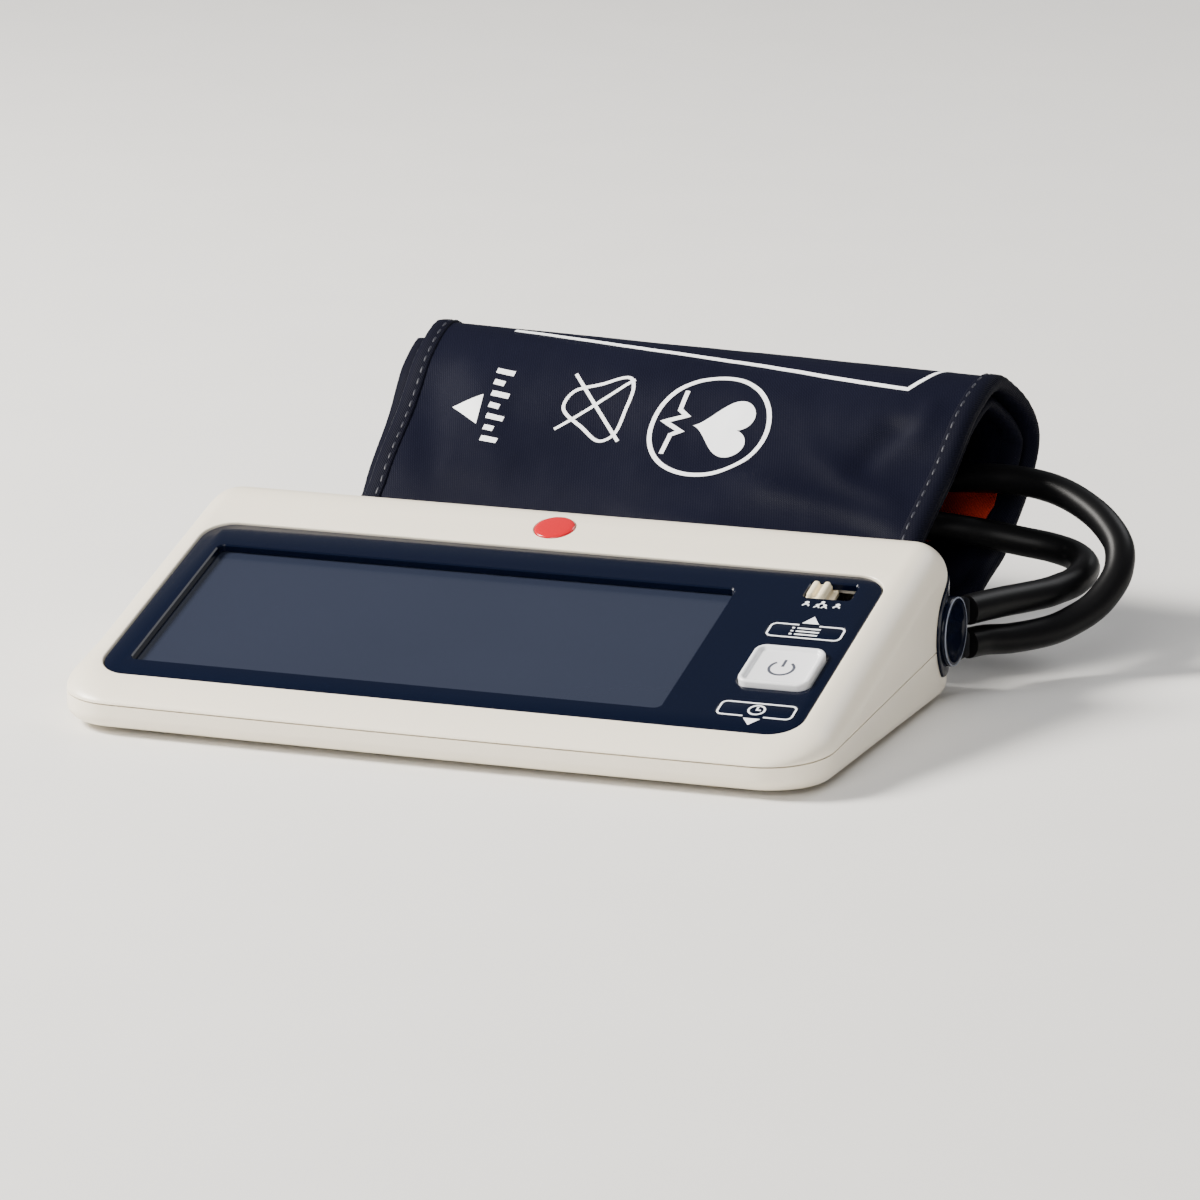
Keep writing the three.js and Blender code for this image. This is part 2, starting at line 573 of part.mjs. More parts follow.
function buildControls() {
  key("start_stop_button", START_WIDTH, START_LENGTH, START_RADIUS, START_V, START_PROUD, BUTTON_WHITE);
  key("memory_key", KEY_WIDTH, KEY_LENGTH, KEY_RADIUS, MEMORY_V, -PANEL_SINK, NAVY);
  key("set_key", KEY_WIDTH, KEY_LENGTH, KEY_RADIUS, SET_V, -PANEL_SINK, NAVY);
  const knobX = KEY_COLUMN_X - SELECTOR_WIDTH / 2 + FIT + KNOB_WIDTH / 2;
  const knobLength = SELECTOR_LENGTH - 2 * FIT;
  const stem = plate(roundedRectangle(KNOB_WIDTH, knobLength, 0.5, knobX, SELECTOR_V), FLANGE_BOTTOM, -PANEL_SINK - 0.2);
  const flange = plate(
    roundedRectangle(KNOB_WIDTH + 2 * KNOB_FLANGE, knobLength + 2 * KNOB_FLANGE, 0.5, knobX, SELECTOR_V),
    FLANGE_BOTTOM, FLANGE_TOP);
  const ridges = [-1, 1].map((side) =>
    plate(roundedRectangle(1.2, knobLength, 0.4, knobX + side * 1.3, SELECTOR_V), -PANEL_SINK - 1, 0.3));
  add(panelGroup, "selector_knob", join(stem, flange, ...ridges), KNOB_CREAM);
}

function buildElectronics() {
  const boardTop = -BOARD_DEPTH;
  const boardRight = KEY_COLUMN_X + BOARD_PAST_KEYS;
  const outline = new THREE.Shape();
  outline.setFromPoints([
    [-60, -26.5], [boardRight, -26.5], [boardRight, 29.5], [PUMP_X + 1, 29.5], [PUMP_X + 1, 15], [-60, 15],
  ].map(([x, v]) => new THREE.Vector2(x, v)));
  add(panelGroup, "main_board", plate(outline, boardTop - BOARD_THICKNESS, boardTop), BOARD_GREEN);
  const under = boardTop - BOARD_THICKNESS - GAP;
  add(panelGroup, "processor", box(-6, 6, -8, 4, under - 1.4, under), BLACK_PLASTIC);
  add(panelGroup, "buzzer", cylinderZ(4.5, 48, 6, under - 4, under, 24), BLACK_PLASTIC);
  const sensor = join(box(60, 68, -8, 0, under - 3.4, under), cylinderX(1.3, 66, 73, -4, under - 1.8, 12));
  add(panelGroup, "pressure_sensor", sensor, STEEL);

  const onBoard = boardTop + GAP;
  for (const [name, v] of [["start_switch", START_V], ["memory_switch", MEMORY_V], ["set_switch", SET_V]]) {
    const half = SWITCH_SIZE / 2;
    const base = box(KEY_COLUMN_X - half, KEY_COLUMN_X + half, v - half, v + half, onBoard, onBoard + SWITCH_HEIGHT - 0.8);
    add(panelGroup, name, join(base, cylinderZ(1.7, KEY_COLUMN_X, v, onBoard + 1, onBoard + SWITCH_HEIGHT, 16)), STEEL);
  }
  add(panelGroup, "selector_switch", box(
    KEY_COLUMN_X - 6, KEY_COLUMN_X + 6, SELECTOR_V - 3.2, SELECTOR_V + 3.2, onBoard, onBoard + SWITCH_HEIGHT), STEEL);

  const [lcdWidth, lcdLength, lcdV] = [WINDOW_WIDTH - 2, WINDOW_LENGTH - 4, WINDOW_V];
  const carrierOuter = roundedRectangle(
    lcdWidth + 2 * (CARRIER_WALL + GAP), lcdLength + 2 * (CARRIER_WALL + GAP), 1, WINDOW_X, lcdV);
  carrierOuter.holes.push(roundedRectangle(lcdWidth + 2 * GAP, lcdLength + 2 * GAP, 0.5, WINDOW_X, lcdV));
  add(panelGroup, "lcd_carrier", plate(carrierOuter, LCD_BOTTOM - 0.5, LCD_TOP), BLACK_PLASTIC);
  add(panelGroup, "lcd_panel", plate(roundedRectangle(lcdWidth, lcdLength, 0.5, WINDOW_X, lcdV), LCD_BOTTOM, LCD_TOP), LCD_GREY);
  const stripV = lcdV - lcdLength / 2 + 3;
  add(panelGroup, "zebra_strip", box(
    -58, 40, stripV - 1.2, stripV + 1.2, boardTop + GAP, LCD_BOTTOM - GAP), RUBBER);
}

// Bowed contact leaf standing on the contact plate, springing along X.
function contactLeaf(x, y, z) {
  const outline = [];
  for (const [shrink, direction] of [[0, 1], [LEAF_THICKNESS, -1]]) {
    for (let i = 0; i <= LEAF_STEPS; i++) {
      const angle = (direction > 0 ? i : LEAF_STEPS - i) / LEAF_STEPS * Math.PI;
      outline.push(new THREE.Vector2(
        x + (LEAF_RISE - shrink) * Math.sin(angle),
        y - (LEAF_HALF_LENGTH - shrink) * Math.cos(angle)));
    }
  }
  const shape = new THREE.Shape();
  shape.setFromPoints(outline);
  return plate(shape, z - LEAF_WIDTH / 2, z + LEAF_WIDTH / 2);
}

function buildPower() {
  const rows = [BAY_FRONT_Y + CELL_DIAMETER / 2 + 0.6, BAY_BACK_Y - CELL_DIAMETER / 2 - 0.6];
  let number = 1;
  for (const y of rows) {
    for (const side of [0, 1]) {
      const x = BAY_LEFT_X + SPRING_LENGTH + 1.5 * GAP + 0.6 + side * (CELL_LENGTH + GAP);
      const body = cylinderX(CELL_DIAMETER / 2 - 0.1, x, x + CELL_LENGTH - 1.2, y, CELL_Z, 24);
      const tip = cylinderX(2.7, x + CELL_LENGTH - 2, x + CELL_LENGTH, y, CELL_Z, 16);
      add(part, `battery_${number}`, join(body, tip), CELL_WRAP);
      number += 1;
    }
    const springX = BAY_LEFT_X + 1;
    add(part, `battery_spring_${rows.indexOf(y) + 1}`, contactLeaf(springX, y, CELL_Z), STEEL);
  }
  const plateHeight = [CELL_Z - 4, CELL_Z + 4];
  const plateDepth = [rows[0] - 5, rows[1] + 5];
  add(part, "contact_plate_left", box(BAY_LEFT_X + GAP, BAY_LEFT_X + GAP + 0.4, ...plateDepth, ...plateHeight), STEEL);
  add(part, "contact_plate_right", box(BAY_RIGHT_X - GAP - 0.4, BAY_RIGHT_X - GAP, ...plateDepth, ...plateHeight), STEEL);
  const jackX = -HALF_WIDTH + WALL + 1.4;
  const jack = cut(
    box(jackX, jackX + JACK_LENGTH, JACK_Y - 4.5, JACK_Y + 4.5, JACK_Z - 3.2, JACK_Z + 3.2),
    cylinderX(JACK_RADIUS - 0.3, jackX - 1, jackX + JACK_LENGTH - 3, JACK_Y, JACK_Z, 20));
  add(part, "power_jack", jack, BLACK_PLASTIC);
}

function buildPump() {
  const motorEnd = PUMP_X + MOTOR_LENGTH;
  add(part, "pump_motor", cylinderX(MOTOR_DIAMETER / 2, PUMP_X, motorEnd, PUMP_Y, PUMP_Z, 28), STEEL);
  const headX = motorEnd + GAP;
  const head = cylinderX(PUMP_DIAMETER / 2, headX, headX + PUMP_LENGTH, PUMP_Y, PUMP_Z, 28);
  const outletEnd = headX + PUMP_LENGTH + 2;
  const outlet = cylinderX(1.8, headX + PUMP_LENGTH - 1, outletEnd, PORT_Y, NIPPLE_ZS.upper, 12);
  add(part, "pump_head", join(head, outlet), BLACK_PLASTIC);
  const valve = join(cylinderX(4.2, 52, 66, 12, 9.5, 20), cylinderX(1.4, 65, 69, 12, 9.5, 12));
  add(part, "release_valve", valve, STEEL);
  const cupX = PLUG_INNER_X - 7;
  add(part, "pump_hose", cylinderX(2.2, outletEnd + GAP, cupX - 3 - GAP, PORT_Y, NIPPLE_ZS.upper, 14), RUBBER);
  const tailY = PORT_Y - 11 - GAP;
  add(part, "valve_hose", tube([
    [69 + GAP, 12, 9.5], [71, 12.1, 9.5], [73.4, 13.6, 9.6], [cupX + 3, 17, 10.2], [cupX + 3, 23, 12],
    [cupX + 3, tailY - 2, NIPPLE_ZS.lower], [cupX + 3, tailY, NIPPLE_ZS.lower],
  ], 1.8, 18, 4), RUBBER);
}

function buildFeetAndScrews() {
  FEET.forEach(([x, y], i) => {
    add(part, `foot_${i + 1}`, cylinderZ(FOOT_DIAMETER / 2, x, y, 0, FOOT_HEIGHT + FOOT_SINK - GAP, 24), RUBBER);
  });
  POSTS.forEach(([x, y], i) => {
    const head = cylinderZ(SCREW_HEAD_RADIUS, x, y, FOOT_HEIGHT + 0.1, FOOT_HEIGHT + 0.9, 16);
    const shank = cylinderZ(SCREW_SHANK_RADIUS, x, y, FOOT_HEIGHT + 0.5, FLOOR_Z + 6, 12);
    add(part, `case_screw_${i + 1}`, join(head, shank), STEEL);
  });
}

// ---------------------------------------------------------------- cuff
// Outside of the roll, seen along its axis: [depth behind the ridge, height].
const ROLL_OUTLINE = [
  [0, 59], [-12.6, 54.3], [-25.3, 43.5], [-41, 31.5], [-50, 21], [-52, 11], [-47, 3], [-37, 0], [-24, 4.6],
  [-10.6, 12.6], [0, 17.5], [5.6, 22.6], [12.6, 29.4], [18.7, 40.5], [16.7, 47.7], [8.6, 55.4],
];
const rollCurve = new THREE.CatmullRomCurve3(
  ROLL_OUTLINE.map(([s, z]) => new THREE.Vector3(s, z, 0)), true, "centripetal");

// Point of the roll's outline at a share `t` of its length from the ridge, moved inwards.
function rollPoint(t, inset) {
  const share = t - Math.floor(t);
  const point = rollCurve.getPointAt(share);
  const tangent = rollCurve.getTangentAt(share);
  return [point.x - tangent.y * inset, Math.max(point.y + tangent.x * inset, inset)];
}

// A strip of the roll from share t0 to t1, between two insets, along the roll's axis from x0 to x1.
function rollBand(t0, t1, inset0, inset1, x0, x1, steps) {
  const side = (inset) => Array.from({ length: steps + 1 }, (_, i) => rollPoint(t0 + ((t1 - t0) * i) / steps, inset));
  const points = [...side(inset0), ...side(inset1).reverse()];
  const shape = new THREE.Shape(points.map(([s, z]) => new THREE.Vector2(s, z)));
  return new THREE.ExtrudeGeometry(shape, { depth: x1 - x0, bevelEnabled: false })
    .applyMatrix4(new THREE.Matrix4().set(0, 0, 1, x0, 1, 0, 0, 0, 0, 1, 0, 0, 0, 0, 0, 1));
}

const SPIGOT_END = [
  SPIGOT_X + (SPIGOT_LENGTH + GAP) * Math.sin(SPIGOT_TURN),
  PORT_Y + (SPIGOT_LENGTH + GAP) * Math.cos(SPIGOT_TURN),
];
const hoseRoutes = {
  upper_hose: [
    [...SPIGOT_END, HOSE_ZS.upper], [91.6, 55.2, 18.5], [94.6, 61.8, 18.3], [96.4, 65.6, 18.1], [98.4, 69.4, 18],
    [100.4, 73.1, 18], [102, 77, 18.2], [103.5, 80.6, 18.5], [104.3, 84.4, 19], [103.6, 91.6, 20],
    [99.6, 96.8, 21], [93.4, 98.8, 22], [87, 98.8, 22.8], [80, 97.6, 24], [74, 95.4, 25.2], [66.5, 92.6, 26.4],
    [60.5, 88, 28], [56.6, 82.6, 29.4],
  ],
  lower_hose: [
    [...SPIGOT_END, HOSE_ZS.lower], [91.6, 55.2, 10.7], [95.6, 60, 10.2], [101.4, 66, 10.6], [104.3, 68.9, 11.3],
    [107, 72, 12.6], [109.5, 74.8, 14.2], [111.6, 77.6, 16.4], [113.8, 82.6, 21.2], [112.8, 87.4, 26],
    [108.4, 91.8, 30], [102, 96.2, 33], [94.6, 100, 35], [87, 102.6, 35.8], [79.6, 104, 35.8],
    [73, 104.4, 35.4], [66.4, 103.4, 35.2], [60.4, 100, 35.4], [56, 94.6, 35.8],
  ],
};

function buildCuff() {
  const half = CUFF_WIDTH / 2;
  const [left, right] = [-half, half];
  const bladderInset = WRAP_THICKNESS + GAP;
  const innerInset = bladderInset + BLADDER_THICKNESS + GAP;
  const liningInset = WRAP_THICKNESS + GAP;
  const [outer0, outer1] = [0.47, 1.46];
  const [inner0, inner1] = [0.8, 1.42];
  const edge = BINDING_WIDTH;
  add(cuffGroup, "outer_wrap", rollBand(outer0, outer1, 0, WRAP_THICKNESS, left + edge + GAP, right - edge - GAP, 44), CUFF_NYLON);
  add(cuffGroup, "outer_binding_left", rollBand(outer0, outer1, 0, WRAP_THICKNESS, left, left + edge, 44), BINDING_TAPE);
  add(cuffGroup, "outer_binding_right", rollBand(outer0, outer1, 0, WRAP_THICKNESS, right - edge, right, 44), BINDING_TAPE);
  add(cuffGroup, "air_bladder", rollBand(
    0.82, 1.36, bladderInset, bladderInset + BLADDER_THICKNESS, left + 12, right - 12, 36), BLADDER);
  const [innerLeft, innerRight] = [left + INNER_SHIFT, right - 2];
  const innerBack = innerInset + INNER_THICKNESS;
  add(cuffGroup, "inner_wrap", rollBand(
    inner0, inner1, innerInset, innerBack, innerLeft + edge + GAP, innerRight - edge - GAP, 30), CUFF_NYLON);
  add(cuffGroup, "inner_binding_left", rollBand(
    inner0, inner1, innerInset, innerBack, innerLeft, innerLeft + edge, 30), BINDING_TAPE);
  add(cuffGroup, "inner_binding_right", rollBand(
    inner0, inner1, innerInset, innerBack, innerRight - edge, innerRight, 30), BINDING_TAPE);
  add(cuffGroup, "red_lining", rollBand(
    0.69, 0.79, liningInset, liningInset + LINING_THICKNESS, left + 4, right - 4, 14), LINING_RED);
  add(cuffGroup, "hook_patch", rollBand(
    0.49, 0.59, bladderInset, bladderInset + PATCH_THICKNESS, left + 24, right - 24, 8), HOOK_TAPE);
  for (const [name, route] of Object.entries(hoseRoutes)) {
    add(part, name, tube(route, HOSE_DIAMETER / 2, 44, 4), HOSE_RUBBER);
  }
}

buildHousing();
buildPanel();
buildControls();
buildElectronics();
buildPower();
buildPump();
buildPortAndPlug();
buildFeetAndScrews();
buildCuff();

// The hoses and their plug are left out of the footprint.
const HOSE_SET = ["upper_hose", "lower_hose", "air_plug", "plug_seal"];
const standing = new THREE.Box3();
part.updateMatrixWorld(true);
part.traverse((piece) => {
  if (piece.isMesh && !HOSE_SET.includes(piece.name)) standing.expandByObject(piece, true);
});
const middle = standing.getCenter(new THREE.Vector3());
part.position.set(-middle.x, -middle.y, 0);
const assembly = new THREE.Group();
assembly.add(part);
export default assembly;
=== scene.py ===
# Blood pressure monitor with its rolled cuff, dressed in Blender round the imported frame.
# Design sizes are in millimetres on the monitor's own axes; at() turns them into the frame's metres.
import json
import math

import bmesh
import bpy
import numpy as np
from mathutils import Matrix, Vector, noise

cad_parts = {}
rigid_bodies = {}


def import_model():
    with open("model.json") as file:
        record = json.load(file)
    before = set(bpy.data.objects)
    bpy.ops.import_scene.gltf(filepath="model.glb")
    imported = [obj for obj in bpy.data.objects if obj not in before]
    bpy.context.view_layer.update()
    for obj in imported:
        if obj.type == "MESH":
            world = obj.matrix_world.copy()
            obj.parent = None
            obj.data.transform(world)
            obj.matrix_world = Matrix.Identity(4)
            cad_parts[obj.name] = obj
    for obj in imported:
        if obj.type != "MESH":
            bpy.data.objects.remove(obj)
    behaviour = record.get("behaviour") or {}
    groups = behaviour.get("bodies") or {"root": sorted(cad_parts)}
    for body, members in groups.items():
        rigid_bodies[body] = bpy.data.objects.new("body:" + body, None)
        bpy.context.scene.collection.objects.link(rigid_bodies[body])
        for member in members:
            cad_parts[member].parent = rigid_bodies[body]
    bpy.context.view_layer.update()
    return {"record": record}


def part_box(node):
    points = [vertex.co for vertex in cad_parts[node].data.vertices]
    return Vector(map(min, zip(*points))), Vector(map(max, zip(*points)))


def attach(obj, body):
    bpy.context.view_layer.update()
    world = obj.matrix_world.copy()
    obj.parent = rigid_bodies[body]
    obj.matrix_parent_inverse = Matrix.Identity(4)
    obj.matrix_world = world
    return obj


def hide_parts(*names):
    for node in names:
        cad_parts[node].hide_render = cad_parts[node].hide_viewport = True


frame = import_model()
MM = 0.001

# ------------------------------------------------------------------ design sizes
HALF_WIDTH = 88.0
FRONT_Y, BACK_Y = -50.0, 51.0
CORNER_RADIUS = 14.0
FRONT_BOW = 0.8
EDGE_RADIUS = 7.0
BASE_RADIUS = 3.1
WALL = 2.0
FOOT_HEIGHT = 1.5
PARTING_Z, PARTING_RISE = 7.0, 0.073
PARTING_GAP = 0.3
SLOPE = math.radians(17.2)
PANEL_Y, PANEL_Z = -8.97, 21.735
CROWN_RADIUS = 13.3
CROWN_Y = BACK_Y - 13.07
PANEL_WIDTH, PANEL_LENGTH, PANEL_RADIUS = 161.0, 65.6, 7.0
PANEL_SINK, PANEL_UNDER = -0.4, -2.0
WINDOW = dict(width=123.0, length=49.7, radius=1.5, x=-13.3, v=-1.3)
KEY_X = 69.2
START = dict(width=16.0, length=15.4, radius=2.6, x=KEY_X, v=-7.0)
START_TOP = 0.9
MEMORY = dict(width=17.2, length=5.8, radius=1.6, x=KEY_X, v=8.6)
SETTINGS = dict(width=17.2, length=5.8, radius=1.6, x=KEY_X, v=-23.7)
SELECTOR = dict(width=10.6, length=6.6, radius=1.0, x=KEY_X, v=26.0)
BADGE = dict(x=-1.0, v=42.0, radius=4.6)
PORT_Y, PORT_Z, PLUG_RADIUS, PLUG_TOP_X = 41.6, 15.6, 7.8, 89.4
HOSE_DIAMETER = 6.8
CUFF_X, CUFF_Y, CUFF_TURN = 5.5, 114.0, math.radians(-6.9)
WRAP, INNER_WRAP, BLADDER_SHEET, PATCH_TAPE = 2.6, 2.4, 1.4, 0.9
CLOTH_GAP = 0.3
TAPE_WIDTH, TAPE_BULGE = 5.0, 0.45
SEAT_GAP, BEZEL_GAP = 0.3, 0.15
BEZEL_SEAT_X = (70.0, 95.0)

low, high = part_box("lower_housing")
ORIGIN = Vector(((low[0] + high[0]) / 2, low[1] - FRONT_Y * MM, 0.0))


def at(x, y, z):
    return ORIGIN + Vector((x, y, z)) * MM


def on_panel(u, v, w):
    return (u, PANEL_Y + v * math.cos(SLOPE) - w * math.sin(SLOPE),
        PANEL_Z + v * math.sin(SLOPE) + w * math.cos(SLOPE))


def on_cuff(x, s, z):
    c, k = math.cos(CUFF_TURN), math.sin(CUFF_TURN)
    return (CUFF_X + x * c - s * k, CUFF_Y + x * k + s * c, z)


def put(name, data):
    obj = bpy.data.objects.new(name, data)
    bpy.context.scene.collection.objects.link(obj)
    return obj


def ring(x, y, radius, sides):
    """Points of a circle."""
    turns = (2 * math.pi * i / sides for i in range(sides))
    return [(x + radius * math.cos(a), y + radius * math.sin(a)) for a in turns]


def band_faces(rings, count):
    """Four-sided faces between closed rings of count points each."""
    faces = []
    for r in range(rings - 1):
        for i in range(count):
            j = (i + 1) % count
            faces.append((r * count + i, r * count + j, (r + 1) * count + j, (r + 1) * count + i))
    return faces


# ------------------------------------------------------------------ camera
CAMERA_ROLL = -0.366


def make_camera():
    data = bpy.data.cameras.new("camera")
    data.sensor_width = 36.0
    data.lens = 186.2
    data.clip_start, data.clip_end = 0.05, 20.0
    camera = put("camera", data)
    place, target = at(495.3, -1215.3, 351.3), at(11.9, 25.45, 20.0)
    turn = (target - place).to_track_quat("-Z", "Y").to_matrix().to_4x4()
    roll = Matrix.Rotation(math.radians(CAMERA_ROLL), 4, "Z")
    camera.matrix_world = Matrix.Translation(place) @ turn @ roll
    bpy.context.scene.camera = camera


make_camera()


# ------------------------------------------------------------------ mesh helpers
def make(name, verts, faces, body, sharp=38.0):
    """A mesh piece from design-frame points, smooth but for edges over the sharp angle."""
    mesh = bpy.data.meshes.new(name)
    mesh.from_pydata([at(*v) for v in verts], [], faces)
    mesh.update()
    obj = put(name, mesh)
    tidy(obj, sharp)
    if body:
        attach(obj, body)
    return obj


def tidy(obj, sharp=38.0):
    work = bmesh.new()
    work.from_mesh(obj.data)
    bmesh.ops.remove_doubles(work, verts=work.verts, dist=2e-7)
    bmesh.ops.recalc_face_normals(work, faces=work.faces)
    work.to_mesh(obj.data)
    work.free()
    obj.data.shade_smooth()
    obj.data.set_sharp_from_angle(angle=math.radians(sharp))


def settle(obj, sharp=38.0):
    """Applies the object's modifiers."""
    graph = bpy.context.evaluated_depsgraph_get()
    mesh = bpy.data.meshes.new_from_object(obj.evaluated_get(graph))
    obj.modifiers.clear()
    obj.data = mesh
    obj.data.shade_smooth()
    obj.data.set_sharp_from_angle(angle=math.radians(sharp))
    return obj


def carve(obj, *cutters, operation="DIFFERENCE"):
    for cutter in cutters:
        change = obj.modifiers.new("carve", "BOOLEAN")
        change.operation = operation
        change.solver = "MANIFOLD"
        change.object = cutter
        settle(obj)
        bpy.data.objects.remove(cutter)
    return obj


def soften(obj, width, segments=3, angle=30.0):
    change = obj.modifiers.new("soften", "BEVEL")
    change.width = width * MM
    change.segments = segments
    change.limit_method = "ANGLE"
    change.angle_limit = math.radians(angle)
    change.harden_normals = False
    return settle(obj)


def rounded_outline(width, length, radius, x=0.0, v=0.0, steps=10):
    points = []
    for quarter, (sx, sv) in enumerate(((1, 1), (-1, 1), (-1, -1), (1, -1))):
        for i in range(steps + 1):
            angle = (quarter + i / steps) * math.pi / 2
            points.append((x + sx * (width / 2 - radius) + radius * math.cos(angle),
                v + sv * (length / 2 - radius) + radius * math.sin(angle)))
    return points


def stack(name, loops, body=None, sharp=38.0):
    """Closed solid through equal loops of design-frame points, capped at both ends."""
    count = len(loops[0])
    verts = [p for loop in loops for p in loop]
    faces = [tuple(range(count))[::-1], tuple(range((len(loops) - 1) * count, len(loops) * count))]
    return make(name, verts, faces + band_faces(len(loops), count), body, sharp)


def panel_plate(name, shape, w0, w1, body=None, grow=0.0):
    outline = rounded_outline(shape["width"] + 2 * grow, shape["length"] + 2 * grow,
        shape["radius"] + grow, shape["x"], shape["v"])
    return stack(name, [[on_panel(u, v, w) for u, v in outline] for w in (w0, w1)], body)


def disc_x(name, profile, y, z, sides=64, body=None):
    """Turned piece along X: profile is (x, radius) pairs."""
    loops = [[(x, py, pz) for py, pz in ring(y, z, r, sides)] for x, r in profile]
    return stack(name, loops, body)


# ------------------------------------------------------------------ materials
def shader(name, color, roughness, metallic=0.0, coat=0.0, coat_roughness=0.05, sheen=0.0, specular=0.5,
        ior=1.45):
    look = bpy.data.materials.new(name)
    look.use_nodes = True
    base = look.node_tree.nodes["Principled BSDF"]
    base.inputs["Base Color"].default_value = (*color, 1)
    base.inputs["Roughness"].default_value = roughness
    base.inputs["Metallic"].default_value = metallic
    base.inputs["Coat Weight"].default_value = coat
    base.inputs["Coat Roughness"].default_value = coat_roughness
    base.inputs["Sheen Weight"].default_value = sheen
    base.inputs["Sheen Roughness"].default_value = 0.4
    base.inputs["Specular IOR Level"].default_value = specular
    base.inputs["IOR"].default_value = ior
    return look, look.node_tree.nodes, look.node_tree.links, base


def node(nodes, kind, **values):
    made = nodes.new(kind)
    for key, value in values.items():
        if hasattr(made, key) and key not in ("Scale",):
            setattr(made, key, value)
        else:
            made.inputs[key.replace("_", " ")].default_value = value
    return made


def moulded(name, color, roughness, grain=900.0, bump=0.02, mottle=0.03, **finish):
    """Moulded plastic or rubber: fine grain bump, faint colour mottle and uneven gloss."""
    look, nodes, links, base = shader(name, color, roughness, **finish)
    place = nodes.new("ShaderNodeTexCoord")
    fine = node(nodes, "ShaderNodeTexNoise", Scale=grain, Detail=3.0)
    broad = node(nodes, "ShaderNodeTexNoise", Scale=28.0, Detail=2.0)
    links.new(place.outputs["Object"], fine.inputs["Vector"])
    links.new(place.outputs["Object"], broad.inputs["Vector"])
    lift = node(nodes, "ShaderNodeBump", Strength=bump, Distance=0.0003)
    links.new(fine.outputs["Fac"], lift.inputs["Height"])
    links.new(lift.outputs["Normal"], base.inputs["Normal"])
    ramp = nodes.new("ShaderNodeValToRGB")
    ramp.color_ramp.elements[0].color = (*[c * (1 - mottle) for c in color], 1)
    ramp.color_ramp.elements[1].color = (*[min(1, c * (1 + mottle)) for c in color], 1)
    links.new(broad.outputs["Fac"], ramp.inputs["Fac"])
    links.new(ramp.outputs["Color"], base.inputs["Base Color"])
    gloss = node(nodes, "ShaderNodeMapRange")
    gloss.inputs["To Min"].default_value = roughness * 0.88
    gloss.inputs["To Max"].default_value = min(1.0, roughness * 1.12)
    links.new(broad.outputs["Fac"], gloss.inputs["Value"])
    links.new(gloss.outputs["Result"], base.inputs["Roughness"])
    return look


def woven(name, color, light, pitch, bump, roughness=0.75, sheen=0.35, twill=1.0, specular=0.16):
    """Twill or tape weave over the UV map, whose unit is a millimetre."""
    look, nodes, links, base = shader(name, color, roughness, sheen=sheen, specular=specular)
    uv = nodes.new("ShaderNodeUVMap")
    uv.uv_map = "cloth"
    parts = nodes.new("ShaderNodeSeparateXYZ")
    links.new(uv.outputs["UV"], parts.inputs["Vector"])

    def maths(operation, *values):
        made = node(nodes, "ShaderNodeMath", operation=operation)
        for socket, value in zip(made.inputs, values):
            if isinstance(value, float):
                socket.default_value = value
            else:
                links.new(value, socket)
        return made.outputs[0]

    def wave(weight_x, weight_y):
        across = maths("MULTIPLY", parts.outputs["X"], weight_x * 2 * math.pi / pitch)
        along = maths("MULTIPLY", parts.outputs["Y"], weight_y * 2 * math.pi / pitch)
        return maths("SINE", maths("ADD", across, along))

    first, second = wave(1.0, twill), wave(1.0, -0.35)
    both = maths("MULTIPLY_ADD", second, 0.35, first)
    level = node(nodes, "ShaderNodeMapRange")
    level.inputs["From Min"].default_value = -1.35
    level.inputs["From Max"].default_value = 1.35
    links.new(both, level.inputs["Value"])
    place = nodes.new("ShaderNodeTexCoord")
    fuzz = node(nodes, "ShaderNodeTexNoise", Scale=1400.0, Detail=2.0)
    wear = node(nodes, "ShaderNodeTexNoise", Scale=22.0, Detail=4.0)
    links.new(place.outputs["Object"], fuzz.inputs["Vector"])
    links.new(place.outputs["Object"], wear.inputs["Vector"])
    height = maths("MULTIPLY_ADD", fuzz.outputs["Fac"], 0.5, level.outputs["Result"])
    lift = node(nodes, "ShaderNodeBump", Strength=bump, Distance=0.0002)
    links.new(height, lift.inputs["Height"])
    links.new(lift.outputs["Normal"], base.inputs["Normal"])
    tone = node(nodes, "ShaderNodeMix", data_type="RGBA")
    tone.inputs["A"].default_value = (*color, 1)
    tone.inputs["B"].default_value = (*light, 1)
    blend = maths("MULTIPLY", level.outputs["Result"], wear.outputs["Fac"])
    links.new(blend, tone.inputs["Factor"])
    links.new(tone.outputs["Result"], base.inputs["Base Color"])
    return look


CREAM = moulded("cream plastic", (0.84, 0.765, 0.625), 0.34, grain=1600, bump=0.03, mottle=0.012,
    coat=0.1, coat_roughness=0.25)
NAVY = moulded("navy gloss plastic", (0.0018, 0.0036, 0.012), 0.16, bump=0.004, mottle=0.06, coat=0.0,
    specular=0.16)
GLASS = moulded("tinted window", (0.016, 0.020, 0.035), 0.2, bump=0.002, mottle=0.05, coat=0.0, specular=0.38)
BUTTON = moulded("button plastic", (0.80, 0.80, 0.82), 0.25, bump=0.01, mottle=0.01, coat=0.3,
    coat_roughness=0.12)
IVORY = moulded("ivory knob plastic", (0.86, 0.74, 0.50), 0.4, mottle=0.02)
BADGE_RED = moulded("red gloss", (0.50, 0.002, 0.012), 0.2, bump=0.003, mottle=0.04, coat=0.35, specular=0.4)
HOSE = moulded("hose rubber", (0.0030, 0.0030, 0.0034), 0.40, grain=700, bump=0.05, mottle=0.10,
    specular=0.14)
RUBBER = moulded("foot rubber", (0.02, 0.02, 0.021), 0.8, grain=500, bump=0.15, mottle=0.10)
BLACK = moulded("black plastic", (0.008, 0.009, 0.012), 0.35, grain=900, bump=0.03, mottle=0.08)
BOARD = moulded("board", (0.03, 0.16, 0.07), 0.45, mottle=0.15)
